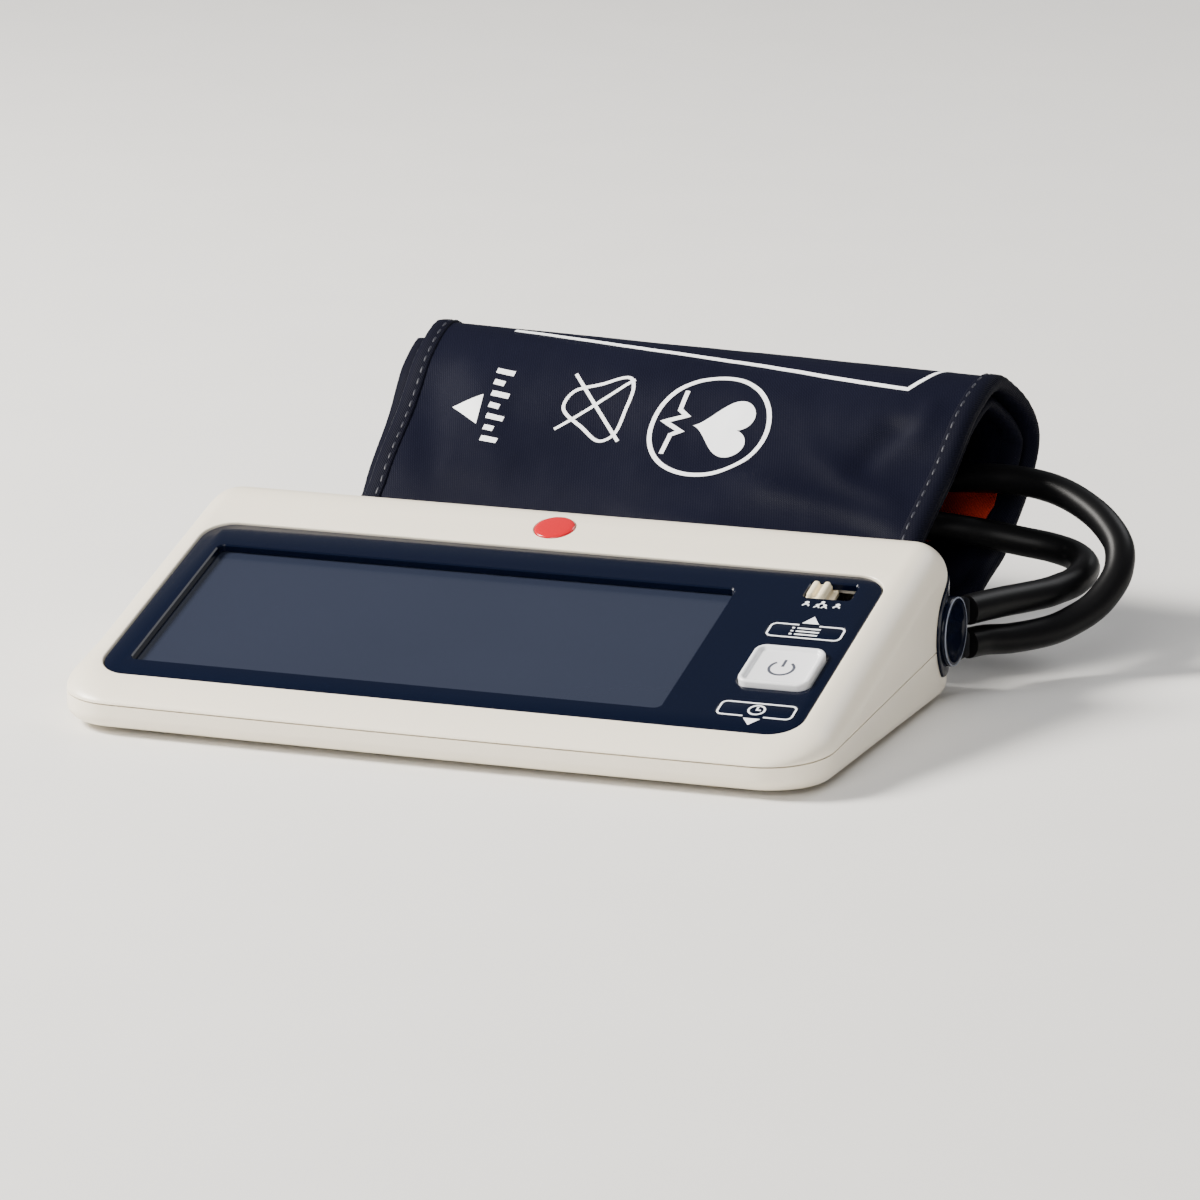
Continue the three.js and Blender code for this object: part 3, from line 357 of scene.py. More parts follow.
STEEL = moulded("plated steel", (0.62, 0.62, 0.62), 0.3, mottle=0.05, metallic=1.0)
CELL = moulded("cell sleeve", (0.03, 0.09, 0.17), 0.3, mottle=0.08)
LCD = moulded("display glass", (0.05, 0.07, 0.08), 0.2, mottle=0.05)
BLADDER = moulded("bladder sheet", (0.012, 0.012, 0.015), 0.5, bump=0.1)
WHITE_INK = moulded("white ink", (0.90, 0.91, 0.93), 0.45, mottle=0.02)
GREY_INK = moulded("grey ink", (0.06, 0.065, 0.085), 0.5, mottle=0.05)
# Lighter grey-blue colour for a thin ring at the plug cap's edge: a painted highlight, not a separate plastic
# part.
PAINTED_RIM_HIGHLIGHT = moulded("plug rim painted highlight", (0.22, 0.24, 0.30), 0.3, mottle=0.05)
NYLON = woven("navy nylon twill", (0.0022, 0.0025, 0.0075), (0.0095, 0.0105, 0.0230), 0.62, 0.45,
    roughness=0.50, sheen=0.0, specular=0.05)
TAPE = woven("edge tape", (0.0018, 0.0020, 0.0060), (0.0070, 0.0078, 0.0165), 0.7, 0.45, roughness=0.6,
    sheen=0.0, specular=0.05)
LINING = woven("red lining", (0.33, 0.012, 0.004), (0.62, 0.040, 0.014), 0.8, 0.5, roughness=0.7, sheen=0.05)
HOOKS = woven("hook tape", (0.003, 0.003, 0.006), (0.012, 0.012, 0.02), 1.4, 1.0, roughness=0.9, sheen=0.05)
THREAD = moulded("stitch thread", (0.006, 0.0068, 0.016), 0.5, grain=2500, bump=0.4, mottle=0.2)


def dress(obj, look):
    obj.data.materials.clear()
    obj.data.materials.append(look)
    return obj


NODE_LOOKS = {"housing_cream": CREAM, "panel_navy": NAVY, "window_glass": GLASS, "button_white": BUTTON,
    "knob_ivory": IVORY, "badge_red": BADGE_RED, "foot_rubber": RUBBER, "hose_rubber": HOSE,
    "board_green": BOARD, "black_plastic": BLACK, "steel": STEEL, "cell_wrap": CELL, "lcd_grey": LCD,
    "cuff_nylon": NYLON, "binding_tape": TAPE, "bladder": BLADDER, "lining_red": LINING,
    "hook_tape": HOOKS,}
for entry in frame["record"]["subparts"]:
    dress(bpy.data.objects[entry["node"]], NODE_LOOKS[entry["material_slot"]])


# ------------------------------------------------------------------ hoses
SPIGOT_TURN = math.radians(25)
HOSE_HEIGHTS = {"upper": PORT_Z + 2.9, "lower": PORT_Z - 4.7}


def spigot_point(distance, height):
    return (85.2 + distance * math.sin(SPIGOT_TURN), PORT_Y + distance * math.cos(SPIGOT_TURN), height)


HOSE_ROUTES = {"upper": [spigot_point(9.3, HOSE_HEIGHTS["upper"]), (91.6, 55.2, 18.5), (94.6, 61.8, 18.3),
    (96.4, 65.6, 18.1), (98.4, 69.4, 18), (100.4, 73.1, 18), (102, 77, 18.2), (103.5, 80.6, 18.5),
    (104.3, 84.4, 19), (103.6, 91.6, 20), (99.6, 96.8, 21), (93.4, 98.8, 22), (87, 98.8, 22.8),
    (80, 97.6, 24), (74, 95.4, 25.2), (66.5, 92.6, 26.4), (60.5, 88, 28), (56.6, 82.6, 29.4),],
    "lower": [spigot_point(9.3, HOSE_HEIGHTS["lower"]), (91.6, 55.2, 10.7), (95.6, 60, 10.2),
    (101.4, 66, 10.6), (104.3, 68.9, 11.3), (107, 72, 12.6), (109.5, 74.8, 14.2), (111.6, 77.6, 16.4),
    (113.8, 82.6, 21.2), (112.8, 87.4, 26), (108.4, 91.8, 30), (102, 96.2, 33), (94.6, 100, 35),
    (87, 102.6, 35.8), (79.6, 104, 35.8), (73, 104.4, 35.4), (66.4, 103.4, 35.2), (60.4, 100, 35.4),
    (56, 94.6, 35.8),],}


def smooth_path(points, closed=False, per_span=12):
    """Centripetal Catmull-Rom curve through the points."""
    pts = [np.array(p, float) for p in points]
    count = len(pts)
    if closed:
        pick = lambda i: pts[i % count]
        spans = count
    else:
        padded = [2 * pts[0] - pts[1], *pts, 2 * pts[-1] - pts[-2]]
        pick = lambda i: padded[i + 1]
        spans = count - 1
    path = []
    for i in range(spans):
        p0, p1, p2, p3 = pick(i - 1), pick(i), pick(i + 1), pick(i + 2)
        t = [0.0]
        for a, b in ((p0, p1), (p1, p2), (p2, p3)):
            t.append(t[-1] + max(np.linalg.norm(b - a), 1e-6) ** 0.5)
        for u in np.linspace(t[1], t[2], per_span, endpoint=False):
            a1 = ((t[1] - u) * p0 + (u - t[0]) * p1) / (t[1] - t[0])
            a2 = ((t[2] - u) * p1 + (u - t[1]) * p2) / (t[2] - t[1])
            a3 = ((t[3] - u) * p2 + (u - t[2]) * p3) / (t[3] - t[2])
            b1 = ((t[2] - u) * a1 + (u - t[0]) * a2) / (t[2] - t[0])
            b2 = ((t[3] - u) * a2 + (u - t[1]) * a3) / (t[3] - t[1])
            path.append(((t[2] - u) * b1 + (u - t[1]) * b2) / (t[2] - t[1]))
    if not closed:
        path.append(pts[-1])
    return np.array(path)


for side, route in HOSE_ROUTES.items():
    line = smooth_path(route, per_span=6)
    curve = bpy.data.curves.new(side + "_air_hose", "CURVE")
    curve.dimensions = "3D"
    curve.bevel_depth = HOSE_DIAMETER / 2 * MM
    curve.bevel_resolution = 8
    curve.use_fill_caps = True
    spline = curve.splines.new("POLY")
    spline.points.add(len(line) - 1)
    for point, place in zip(spline.points, line):
        point.co = (*at(*place), 1.0)
    spline.use_smooth = True
    hose = put(side + "_air_hose", curve)
    dress(hose, HOSE)
    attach(hose, "cuff")
    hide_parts(side + "_hose")
    at(*route[0])


# ------------------------------------------------------------------ housing
def slope_height(y):
    return PANEL_Z + math.tan(SLOPE) * (y - PANEL_Y)


def top_height(y, inset):
    radius = CROWN_RADIUS - inset
    if y <= CROWN_Y - radius * math.sin(SLOPE):
        return slope_height(y) - inset / math.cos(SLOPE)
    start = CROWN_Y - CROWN_RADIUS * math.sin(SLOPE)
    centre = slope_height(start) - CROWN_RADIUS * math.cos(SLOPE)
    return centre + math.sqrt(max(radius * radius - (y - CROWN_Y) ** 2, 0.01))


def half_outline(inset, arc=20):
    radius = CORNER_RADIUS - inset
    x = HALF_WIDTH - CORNER_RADIUS
    front, back = FRONT_Y + CORNER_RADIUS, BACK_Y - CORNER_RADIUS
    points = [(t * x, FRONT_Y + inset) for t in (0, 0.2, 0.4, 0.6, 0.8)]
    for i in range(arc + 1):
        angle = (-0.5 + 0.5 * i / arc) * math.pi
        points.append((x + radius * math.cos(angle), front + radius * math.sin(angle)))
    points += [(x + radius, front + t * (back - front))
        for t in (0.15, 0.3, 0.45, 0.6, 0.75, 0.85, 0.92, 0.96)]
    for i in range(arc + 1):
        angle = 0.5 * i / arc * math.pi
        points.append((x + radius * math.cos(angle), back + radius * math.sin(angle)))
    points += [(0.5 * x, BACK_Y - inset), (0, BACK_Y - inset)]
    return [(px, py + FRONT_BOW * (px / HALF_WIDTH) ** 2 * max(0, -py / 50)) for px, py in points]


def enclosure(name, inset, steps=14):
    rings = []
    base = FOOT_HEIGHT + inset
    base_radius = BASE_RADIUS - max(0.0, inset)
    for i in range(steps, -1, -1):
        angle = i / steps * math.pi / 2
        outline = half_outline(inset + base_radius * (1 - math.cos(angle)))
        rings.append([(x, y, base + base_radius * (1 - math.sin(angle))) for x, y in outline])
    for i in range(steps + 1):
        angle = i / steps * math.pi / 2
        outline = half_outline(inset + EDGE_RADIUS * (1 - math.cos(angle)))
        level = []
        for x, y in outline:
            top = top_height(y, inset)
            room = max(top - (PARTING_Z + PARTING_RISE * (y - FRONT_Y)) + inset, 0.6)
            level.append((x, y, top - min(EDGE_RADIUS, 0.9 * room) * (1 - math.sin(angle))))
        rings.append(level)
    loops = [half + [(-x, y, z) for x, y, z in half[-2:0:-1]] for half in rings]
    half, count = len(rings[0]), len(loops[0])
    verts = [p for loop in loops for p in loop]
    faces = band_faces(len(loops), count)
    for start in (0, (len(loops) - 1) * count):
        for i in range(half - 1):
            corners = [i, i + 1, (count - i - 1) % count, (count - i) % count]
            faces.append(tuple(start + c for c in dict.fromkeys(corners)))
    return make(name, verts, faces, None)


BOX_FACES = [(0, 1, 3, 2), (4, 6, 7, 5), (0, 4, 5, 1), (2, 3, 7, 6), (0, 2, 6, 4), (1, 5, 7, 3)]


def parting_block(name, above):
    size = 400.0
    z0, z1 = (PARTING_GAP / 2, size) if above else (-size, -PARTING_GAP / 2)
    tilt = math.atan(PARTING_RISE)
    verts = []
    for x in (-size, size):
        for y in (-size, size):
            for z in (z0, z1):
                verts.append((x, FRONT_Y + y * math.cos(tilt) - z * math.sin(tilt),
                    PARTING_Z + y * math.sin(tilt) + z * math.cos(tilt)))
    return make(name, verts, BOX_FACES, None)


def block(name, low_corner, high_corner, body=None):
    verts = [(x, y, z) for x in (low_corner[0], high_corner[0]) for y in (low_corner[1], high_corner[1])
        for z in (low_corner[2], high_corner[2])]
    return make(name, verts, BOX_FACES, body)


def pocket(name, shape, grow, bottom, lip=0.35, top=8.0):
    """Cutter for a panel recess, flared at the surface so that the housing's edge is rounded."""
    loops = []
    for w, extra in [(bottom, 0)] + [(-lip + lip * math.sin(a), lip * (1 - math.cos(a)))
            for a in (i / 5 * math.pi / 2 for i in range(6))] + [(top, lip)]:
        outline = rounded_outline(shape["width"] + 2 * (grow + extra),
            shape["length"] + 2 * (grow + extra), shape["radius"] + grow + extra, shape["x"], shape["v"],
            16)
        loops.append([on_panel(u, v, w) for u, v in outline])
    return stack(name, loops)


PANEL = dict(width=PANEL_WIDTH, length=PANEL_LENGTH, radius=PANEL_RADIUS, x=0.0, v=0.0)
BEZEL_Y, BEZEL_Z, BEZEL_LEAN = 40.3, 17.2, math.radians(23.2)


def bezel_outline(grow=0.0, steps=24):
    half, width = 11.5 + grow, 8.1 + grow
    radius = (half * half + width * width) / (2 * width)
    reach = math.asin(half / radius)
    points = []
    for centre, start in ((width - radius, -reach), (radius - width, math.pi - reach)):
        for i in range(steps):
            angle = start + 2 * reach * i / steps
            a, b = centre + radius * math.cos(angle), radius * math.sin(angle)
            points.append((BEZEL_Y + a * math.cos(BEZEL_LEAN) + b * math.sin(BEZEL_LEAN),
                BEZEL_Z - a * math.sin(BEZEL_LEAN) + b * math.cos(BEZEL_LEAN)))
    return points


def bezel_block(name, grow, x0, x1):
    return stack(name, [[(x, y, z) for y, z in bezel_outline(grow)] for x in (x0, x1)])


def plug_room():
    hole = disc_x("room", [(74.0, PLUG_RADIUS + 0.3), (110.0, PLUG_RADIUS + 0.3)], PORT_Y, PORT_Z)
    middle = (HOSE_HEIGHTS["upper"] + HOSE_HEIGHTS["lower"]) / 2
    slot = block("slot", (82.2, PORT_Y, middle - 7.8), (110.0, 61.0, middle + 7.8))
    return carve(hole, slot, operation="UNION")


def cylinder_panel(name, x, v, radius, w0, w1, sides=64):
    outline = ring(x, v, radius, sides)
    return stack(name, [[on_panel(u, t, w) for u, t in outline] for w in (w0, w1)])


BAY = (-80.5, 28.5, 12.5, 44.5)
FLOOR_Z = FOOT_HEIGHT + WALL
FEET = [(-68.0, -37.0), (68.0, -37.0), (-68.0, 3.0), (68.0, 38.0)]
POSTS = [(-81.6, -30.0), (81.6, -30.0), (-81.6, 3.0), (81.6, 15.0)]


def high_z(name):
    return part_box(name)[1][2] / MM


def pillar(name, x, y, radius, z0, z1, sides=48):
    outline = ring(x, y, radius, sides)
    return stack(name, [[(px, py, z) for px, py in outline] for z in (z0, z1)])


def build_housing():
    shell = carve(enclosure("shell", 0.0), enclosure("hollow", WALL))
    upper = shell.copy()
    upper.data = shell.data.copy()
    bpy.context.scene.collection.objects.link(upper)
    upper.name = upper.data.name = "top_cover"
    carve(upper, parting_block("above", True), operation="INTERSECT")
    carve(upper, pocket("panel pocket", PANEL, SEAT_GAP, -12.0),
          cylinder_panel("badge seat", BADGE["x"], BADGE["v"], BADGE["radius"] + SEAT_GAP, -0.8, 3.0),
          bezel_block("bezel seat", BEZEL_GAP, *BEZEL_SEAT_X), plug_room())
    ledge = panel_plate("panel_ledge", dict(PANEL, width=164.0, length=68.4, radius=8.2), -3.8, -2.35)
    carve(ledge, panel_plate("ledge hole", dict(PANEL, width=157.6, length=62.2, radius=4.0), -6.0, 3.0))
    finish_piece(ledge, CREAM, "monitor")
    lower = shell
    lower.name = lower.data.name = "base_cover"
    carve(lower, parting_block("below", False), operation="INTERSECT")
    left, right, front, back = BAY
    roof = high_z("lower_housing")
    bay = carve(block("bay", (left - 2.1, front - 2.1, FLOOR_Z - 1), (right + 2.1, back + 2.1, roof)),
        enclosure("bay limit", 1.0), operation="INTERSECT")
    carve(lower, bay, operation="UNION")
    door_left, door_right, door_front = left - 1.5, right + 1.5, front - 1.5
    carve(lower, block("bay room", (left, front, -5.0), (right, back, roof - 1.2)),
          block("door floor", (door_left, door_front, -5.0), (door_right, 60.0, FLOOR_Z + 0.01)),
          block("door lip", (door_left, BACK_Y - WALL - 0.3, -5.0), (door_right, 60.0, 5.2)),
          bezel_block("bezel seat", BEZEL_GAP, *BEZEL_SEAT_X), plug_room(),
          disc_x("jack hole", [(-95.0, 2.9), (-80.0, 2.9)], -12.0, 7.4))
    for x, y in FEET:
        carve(lower, pillar("foot seat", x, y, 5.3, -1.0, FOOT_HEIGHT + 0.6))
    for x, y in POSTS:
        carve(lower, pillar("screw hole", x, y, 1.7, -1.0, FLOOR_Z + 1),
            pillar("screw seat", x, y, 3.0, -1.0, FOOT_HEIGHT + 1.2))
        post = pillar("screw_post_%d" % (POSTS.index((x, y)) + 1), x, y, 2.8, FLOOR_Z + 0.6,
            slope_height(y) - 2.6)
        carve(post, pillar("screw bore", x, y, 1.6, 0.0, FLOOR_Z + 6.5))
        finish_piece(post, CREAM, "monitor")
    finish_piece(upper, CREAM, "monitor")
    finish_piece(lower, CREAM, "monitor")
    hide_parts("upper_housing")
    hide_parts("lower_housing")


def finish_piece(obj, look, body):
    dress(obj, look)
    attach(obj, body)
    return obj


build_housing()


# ------------------------------------------------------------------ port bezel and plug
def turned_ring(name, profile, y, z, body, sides=96):
    verts, faces = [], []
    count = len(profile)
    for k in range(sides):
        a = 2 * math.pi * k / sides
        verts += [(x, y + r * math.cos(a), z + r * math.sin(a)) for x, r in profile]
    for k in range(sides):
        m = (k + 1) % sides
        for i in range(count):
            j = (i + 1) % count
            faces.append((k * count + i, k * count + j, m * count + j, m * count + i))
    return dress(make(name, verts, faces, body), PAINTED_RIM_HIGHLIGHT)


def build_port():
    bezel = carve(enclosure("port_surround", -0.5), enclosure("bezel core", 0.8))
    carve(bezel, bezel_block("bezel cut", 0.0, 76.0, 93.0), operation="INTERSECT")
    carve(bezel, plug_room())
    soften(bezel, 0.25, 2, 50.0)
    finish_piece(bezel, NAVY, "monitor")
    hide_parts("port_bezel")

    inner = PLUG_TOP_X - 11.0
    cap = disc_x("plug_cap", [(inner, 0.4), (inner, PLUG_RADIUS - 0.6), (inner + 0.6, PLUG_RADIUS),
        (inner + 1.6, PLUG_RADIUS), (inner + 1.6, 6.4), (inner + 3.4, 6.4), (inner + 3.4, PLUG_RADIUS),
        (PLUG_TOP_X - 0.9, PLUG_RADIUS), (PLUG_TOP_X - 0.35, PLUG_RADIUS - 0.12),
        (PLUG_TOP_X, PLUG_RADIUS - 0.5), (PLUG_TOP_X, PLUG_RADIUS - 0.95),
        (PLUG_TOP_X - 0.35, PLUG_RADIUS - 1.35), (PLUG_TOP_X - 0.5, PLUG_RADIUS - 3.0),
        (PLUG_TOP_X - 0.62, 0.4),], PORT_Y, PORT_Z, 72, "cuff")
    dress(cap, NAVY)
    spigots = []
    for side, height in HOSE_HEIGHTS.items():
        loops = []
        for distance, radius in ((2.0, 3.2), (8.4, 3.2), (8.9, 2.9), (9.0, 2.6)):
            x, y, z = spigot_point(distance, height)
            loops.append([(x + radius * math.cos(a) * math.cos(SPIGOT_TURN),
                y - radius * math.cos(a) * math.sin(SPIGOT_TURN), z + radius * math.sin(a))
                for a in (2 * math.pi * i / 32 for i in range(32))])
        spigots.append(stack(side + "_spigot", loops))
    bore = [disc_x("bore", [(inner - 2, 2.3), (inner + 6.3, 2.3)], PORT_Y, PORT_Z + z, 32)
        for z in (-2.8, 2.8)]
    spigots = [carve(spigot, block("disc side", (PLUG_TOP_X - 0.7, 30.0, 0.0),
        (110.0, PORT_Y + PLUG_RADIUS - 0.1, 40.0))) for spigot in spigots]
    carve(cap, *bore)
    for spigot, side in zip(spigots, HOSE_HEIGHTS):
        spigot.name = spigot.data.name = side + "_spigot"
        finish_piece(spigot, BLACK, "cuff")
    dress(cap, NAVY)
    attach(cap, "cuff")
    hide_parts("air_plug")
    # Thin lighter ring round the cap's face: a painted highlight along the cap's rim.
    section = ring(PLUG_TOP_X - 0.1, PLUG_RADIUS - 0.28, 0.16, 10)
    turned_ring("plug_rim_painted_highlight", section, PORT_Y, PORT_Z, "cuff")


build_port()


# ------------------------------------------------------------------ display panel and controls
def loops_plate(name, shape, profile, body=None, arc=12, sharp=38.0):
    """Rounded rectangle on the panel's axes: profile is (growth, height over the panel plane) pairs."""
    loops = []
    for grow, w in profile:
        outline = rounded_outline(shape["width"] + 2 * grow, shape["length"] + 2 * grow,
            max(shape["radius"] + grow, 0.15), shape["x"], shape["v"], arc)
        loops.append([on_panel(u, v, w) for u, v in outline])
    return stack(name, loops, body, sharp)


def opening(shape, grow, flare, depth):
    profile = [(grow, -4.0), (grow, PANEL_SINK - depth), (grow + flare, PANEL_SINK + 0.001),
        (grow + flare, 2.0)]
    return loops_plate("opening", shape, profile)


def build_panel():
    panel = loops_plate("front_panel", PANEL,
        [(0, PANEL_UNDER), (0, -0.6), (-0.06, -0.46), (-0.2, PANEL_SINK)], arc=24)
    carve(panel, opening(WINDOW, 0.0, 0.3, 0.3), opening(START, 0.3, 0.25, 0.25),
        opening(MEMORY, 0.12, 0.1, 0.1), opening(SETTINGS, 0.12, 0.1, 0.1),
        opening(SELECTOR, 0.0, 0.3, 0.3))
    finish_piece(panel, NAVY, "monitor")
    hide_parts("display_panel")
    glass = loops_plate("window_pane", WINDOW, [(1.2, -3.5), (1.2, -2.3)], "monitor")
    dress(glass, GLASS)
    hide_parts("display_window")

    button = loops_plate("start_stop_cap", START,
        [(0.9, -3.1), (0.9, -2.3), (0, -2.3), (0, 0.4), (-0.06, 0.62), (-0.2, 0.8), (-0.42, START_TOP),
        (-0.72, START_TOP), (-0.95, 0.82), (-1.1, 0.6), (-1.25, 0.3), (-1.4, 0.16), (-1.7, 0.1)],
        "start_button", 14, 60.0)
    dress(button, BUTTON)
    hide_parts("start_stop_button")
    for name, cad, shape, body in (("memory_cap", "memory_key", MEMORY, "memory_button"),
            ("settings_cap", "set_key", SETTINGS, "set_button")):
        cap = loops_plate(name, shape,
            [(0.9, -3.1), (0.9, -2.3), (0, -2.3), (0, -0.62), (-0.1, -0.47), (-0.25, PANEL_SINK)], body)
        dress(cap, NAVY)
        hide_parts(cad)

    left = SELECTOR["x"] - SELECTOR["width"] / 2
    knob_x = left + 0.3 + 2.2
    base = dict(width=4.4, length=6.0, radius=0.5, x=knob_x, v=SELECTOR["v"])
    knob = loops_plate("selector_slide", base,
        [(1.2, -3.1), (1.2, -2.35), (0, -2.3), (0, -0.85), (-0.2, -0.65)])
    parts = []
    for side in (-1, 1):
        ridge = dict(width=1.35, length=5.7, radius=0.6, x=knob_x + side * 1.25, v=SELECTOR["v"])
        parts.append(loops_plate("ridge", ridge,
            [(0.25, -1.0), (0.1, -0.4), (0, 0.0), (-0.2, 0.22), (-0.45, 0.3)], sharp=60.0))
    carve(knob, *parts, operation="UNION")
    finish_piece(knob, IVORY, "selector")
    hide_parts("selector_knob")

    dome = [(4.6, -0.5), (4.6, 0.0), (4.5, 0.14), (4.2, 0.24), (3.4, 0.31), (2.0, 0.35), (0.3, 0.36)]
    loops = [[on_panel(u, v, w) for u, v in ring(BADGE["x"], BADGE["v"], r, 72)] for r, w in dome]
    badge = stack("top_badge", loops, "monitor")
    dress(badge, BADGE_RED)
    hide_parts("badge")


build_panel()


# ------------------------------------------------------------------ printed marks
def ribbon(name, path, width, place, body, look, slot=None, low=-0.02, high=0.04, closed=False, step=None):
    """Thin printed line of even width along a flat path; place(a, b, lift) gives design-frame points."""
    pts = [np.array(p, float) for p in path]
    if closed:
        pts.append(pts[0])
    if step:
        dense = [pts[0]]
        for a, b in zip(pts, pts[1:]):
            count = max(1, int(np.linalg.norm(b - a) / step))
            dense += [a + (b - a) * (i + 1) / count for i in range(count)]
        pts = dense
    if closed:
        pts = pts[:-1]
    count = len(pts)
    verts, faces = [], []
    for i in range(count):
        before = pts[(i - 1) % count] if closed or i else 2 * pts[0] - pts[1]
        after = pts[(i + 1) % count] if closed or i < count - 1 else 2 * pts[-1] - pts[-2]
        d0, d1 = pts[i] - before, after - pts[i]
        d0, d1 = d0 / np.linalg.norm(d0), d1 / np.linalg.norm(d1)
        tangent = d0 + d1
        tangent = tangent / np.linalg.norm(tangent)
        normal = np.array([-tangent[1], tangent[0]])
        reach = width / 2 / max(0.5, float(normal @ np.array([-d0[1], d0[0]])))
        for side, lift in ((1, high), (-1, high), (-1, low), (1, low)):
            a, b = pts[i] + side * reach * normal
            verts.append(place(a, b, lift))
    spans = count if closed else count - 1
    for i in range(spans):
        j = (i + 1) % count
        for k in range(4):
            m = (k + 1) % 4
            faces.append((4 * i + k, 4 * j + k, 4 * j + m, 4 * i + m))
    if not closed:
        faces += [(0, 1, 2, 3), tuple(4 * (count - 1) + k for k in (3, 2, 1, 0))]
    return dress(make(name, verts, faces, body, 30.0), look)


def fill(name, corners, place, body, look, slot=None, low=-0.02, high=0.04, parts=8):
    """Thin printed triangle or convex four-sided patch, divided so that it follows a curved surface."""
    a, b, c, d = [np.array(p, float) for p in (corners if len(corners) == 4 else (*corners, corners[-1]))]
    verts, faces = [], []
    side = parts + 1
    for lift in (high, low):
        for i in range(side):
            for j in range(side):
                s, t = i / parts, j / parts
                p = (a * (1 - s) + b * s) * (1 - t) + (d * (1 - s) + c * s) * t
                verts.append(place(*p, lift))
    top = lambda i, j: i * side + j
    low_of = lambda i, j: side * side + i * side + j
    for i in range(parts):
        for j in range(parts):
            faces.append((top(i, j), top(i + 1, j), top(i + 1, j + 1), top(i, j + 1)))
            faces.append((low_of(i, j), low_of(i, j + 1), low_of(i + 1, j + 1), low_of(i + 1, j)))
    for k in range(parts):
        for i0, j0, i1, j1 in ((k, 0, k + 1, 0), (k, parts, k + 1, parts), (0, k, 0, k + 1),
                (parts, k, parts, k + 1)):
            faces.append((top(i0, j0), low_of(i0, j0), low_of(i1, j1), top(i1, j1)))
    return dress(make(name, verts, faces, body, 30.0), look)


def star_fill(name, outline, centre, place, body, look, low=-0.02, high=0.04, rings=8):
    """Thin printed patch inside an outline that can be seen whole from its centre."""
    count = len(outline)
    verts, faces = [], []
    for lift in (high, low):
        for r in range(1, rings + 1):
            for a, b in outline:
                t = r / rings
                verts.append(place(centre[0] + (a - centre[0]) * t, centre[1] + (b - centre[1]) * t, lift))
        verts.append(place(*centre, lift))
    size = rings * count + 1
    for level in (0, 1):
        base = level * size
        for i in range(count):
            j = (i + 1) % count
            faces.append((base + i, base + j, base + size - 1))
            for r in range(rings - 1):
                faces.append((base + r * count + i, base + (r + 1) * count + i,
                    base + (r + 1) * count + j, base + r * count + j))
    rim = (rings - 1) * count
    for i in range(count):
        j = (i + 1) % count
        faces.append((rim + i, rim + j, size + rim + j, size + rim + i))
    return dress(make(name, verts, faces, body, 30.0), look)


def circle(x, y, radius, start=0.0, end=360.0, steps=40):
    full = end - start >= 360
    count = steps if full else steps + 1
    return [(x + radius * math.cos(math.radians(start + (end - start) * i / steps)),
        y + radius * math.sin(math.radians(start + (end - start) * i / steps))) for i in range(count)]


def cut_outline(shape, inset, side, gap_half):
    """Key outline as an open path with a gap for its triangle, on the upper (1) or lower (-1) side."""
    outline = rounded_outline(shape["width"] - 2 * inset, shape["length"] - 2 * inset,
        shape["radius"] - inset, shape["x"], shape["v"], 8)
    edge = shape["v"] + side * (shape["length"] / 2 - inset)
    turn = max(range(len(outline)), key=lambda i: side * outline[i][1] * 100 + side * outline[i][0])
    start, stop = (shape["x"] - side * gap_half, edge), (shape["x"] + side * gap_half, edge)
    return [start, *outline[turn + 1:], *outline[:turn], stop]


def build_panel_marks():
    on_sunk = lambda u, v, lift: on_panel(u, v, PANEL_SINK + lift)
    on_cap = lambda u, v, lift: on_panel(u, v, 0.1 + lift)

    def mark(name, path, width, body, **more):
        ribbon(name, path, width, on_sunk, body, WHITE_INK, **more)

    def arrow(name, corners):
        fill(name, corners, on_sunk, "monitor", WHITE_INK, parts=2)

    mark("memory_outline", cut_outline(MEMORY, 0.3, 1, 2.3), 0.42, "memory_button")
    mark("settings_outline", cut_outline(SETTINGS, 0.3, -1, 2.3), 0.42, "set_button")
    up, down = MEMORY["v"] + 3.35, SETTINGS["v"] - 3.35
    arrow("memory_arrow", [(KEY_X - 1.9, up), (KEY_X + 1.9, up), (KEY_X, up + 3.0)])
    arrow("settings_arrow", [(KEY_X + 1.9, down), (KEY_X - 1.9, down), (KEY_X, down - 2.6)])
    for i in range(3):
        v = MEMORY["v"] + 1.25 - 1.25 * i
        mark("memory_list_%d" % (i + 1), [(KEY_X - 2.2, v), (KEY_X + 3.0, v)], 0.5, "memory_button")
        mark("memory_dot_%d" % (i + 1), [(KEY_X - 3.4, v), (KEY_X - 2.8, v)], 0.5, "memory_button")
    middle = SETTINGS["v"]
    mark("settings_dial", circle(KEY_X, middle, 1.75), 0.45, "set_button", closed=True)
    hands = [(KEY_X, middle + 1.2), (KEY_X, middle), (KEY_X + 0.9, middle)]
    mark("settings_hands", hands, 0.4, "set_button")
    arc = circle(KEY_X, START["v"] - 0.4, 2.7, 128, 412)
    bar = [(KEY_X, START["v"] + 0.2), (KEY_X, START["v"] + 3.0)]
    ribbon("power_ring", arc, 0.62, on_cap, "start_button", GREY_INK)
    ribbon("power_bar", bar, 0.62, on_cap, "start_button", GREY_INK)
    people = ((65.6, 20.0, 0.9), (68.2, 19.4, 0.75), (69.9, 19.4, 0.75), (69.05, 20.7, 0.75),
        (72.6, 20.0, 0.9))
    for i, (u, v, size) in enumerate(people):
        head = circle(u, v + 0.55 * size, 0.3 * size, steps=12)
        mark("user_head_%d" % (i + 1), head, 0.5 * size, "monitor", closed=True)
        shoulders = circle(u, v - 0.95 * size, 0.75 * size, 0, 180, 10)
        mark("user_body_%d" % (i + 1), shoulders, 0.4 * size, "monitor")


build_panel_marks()


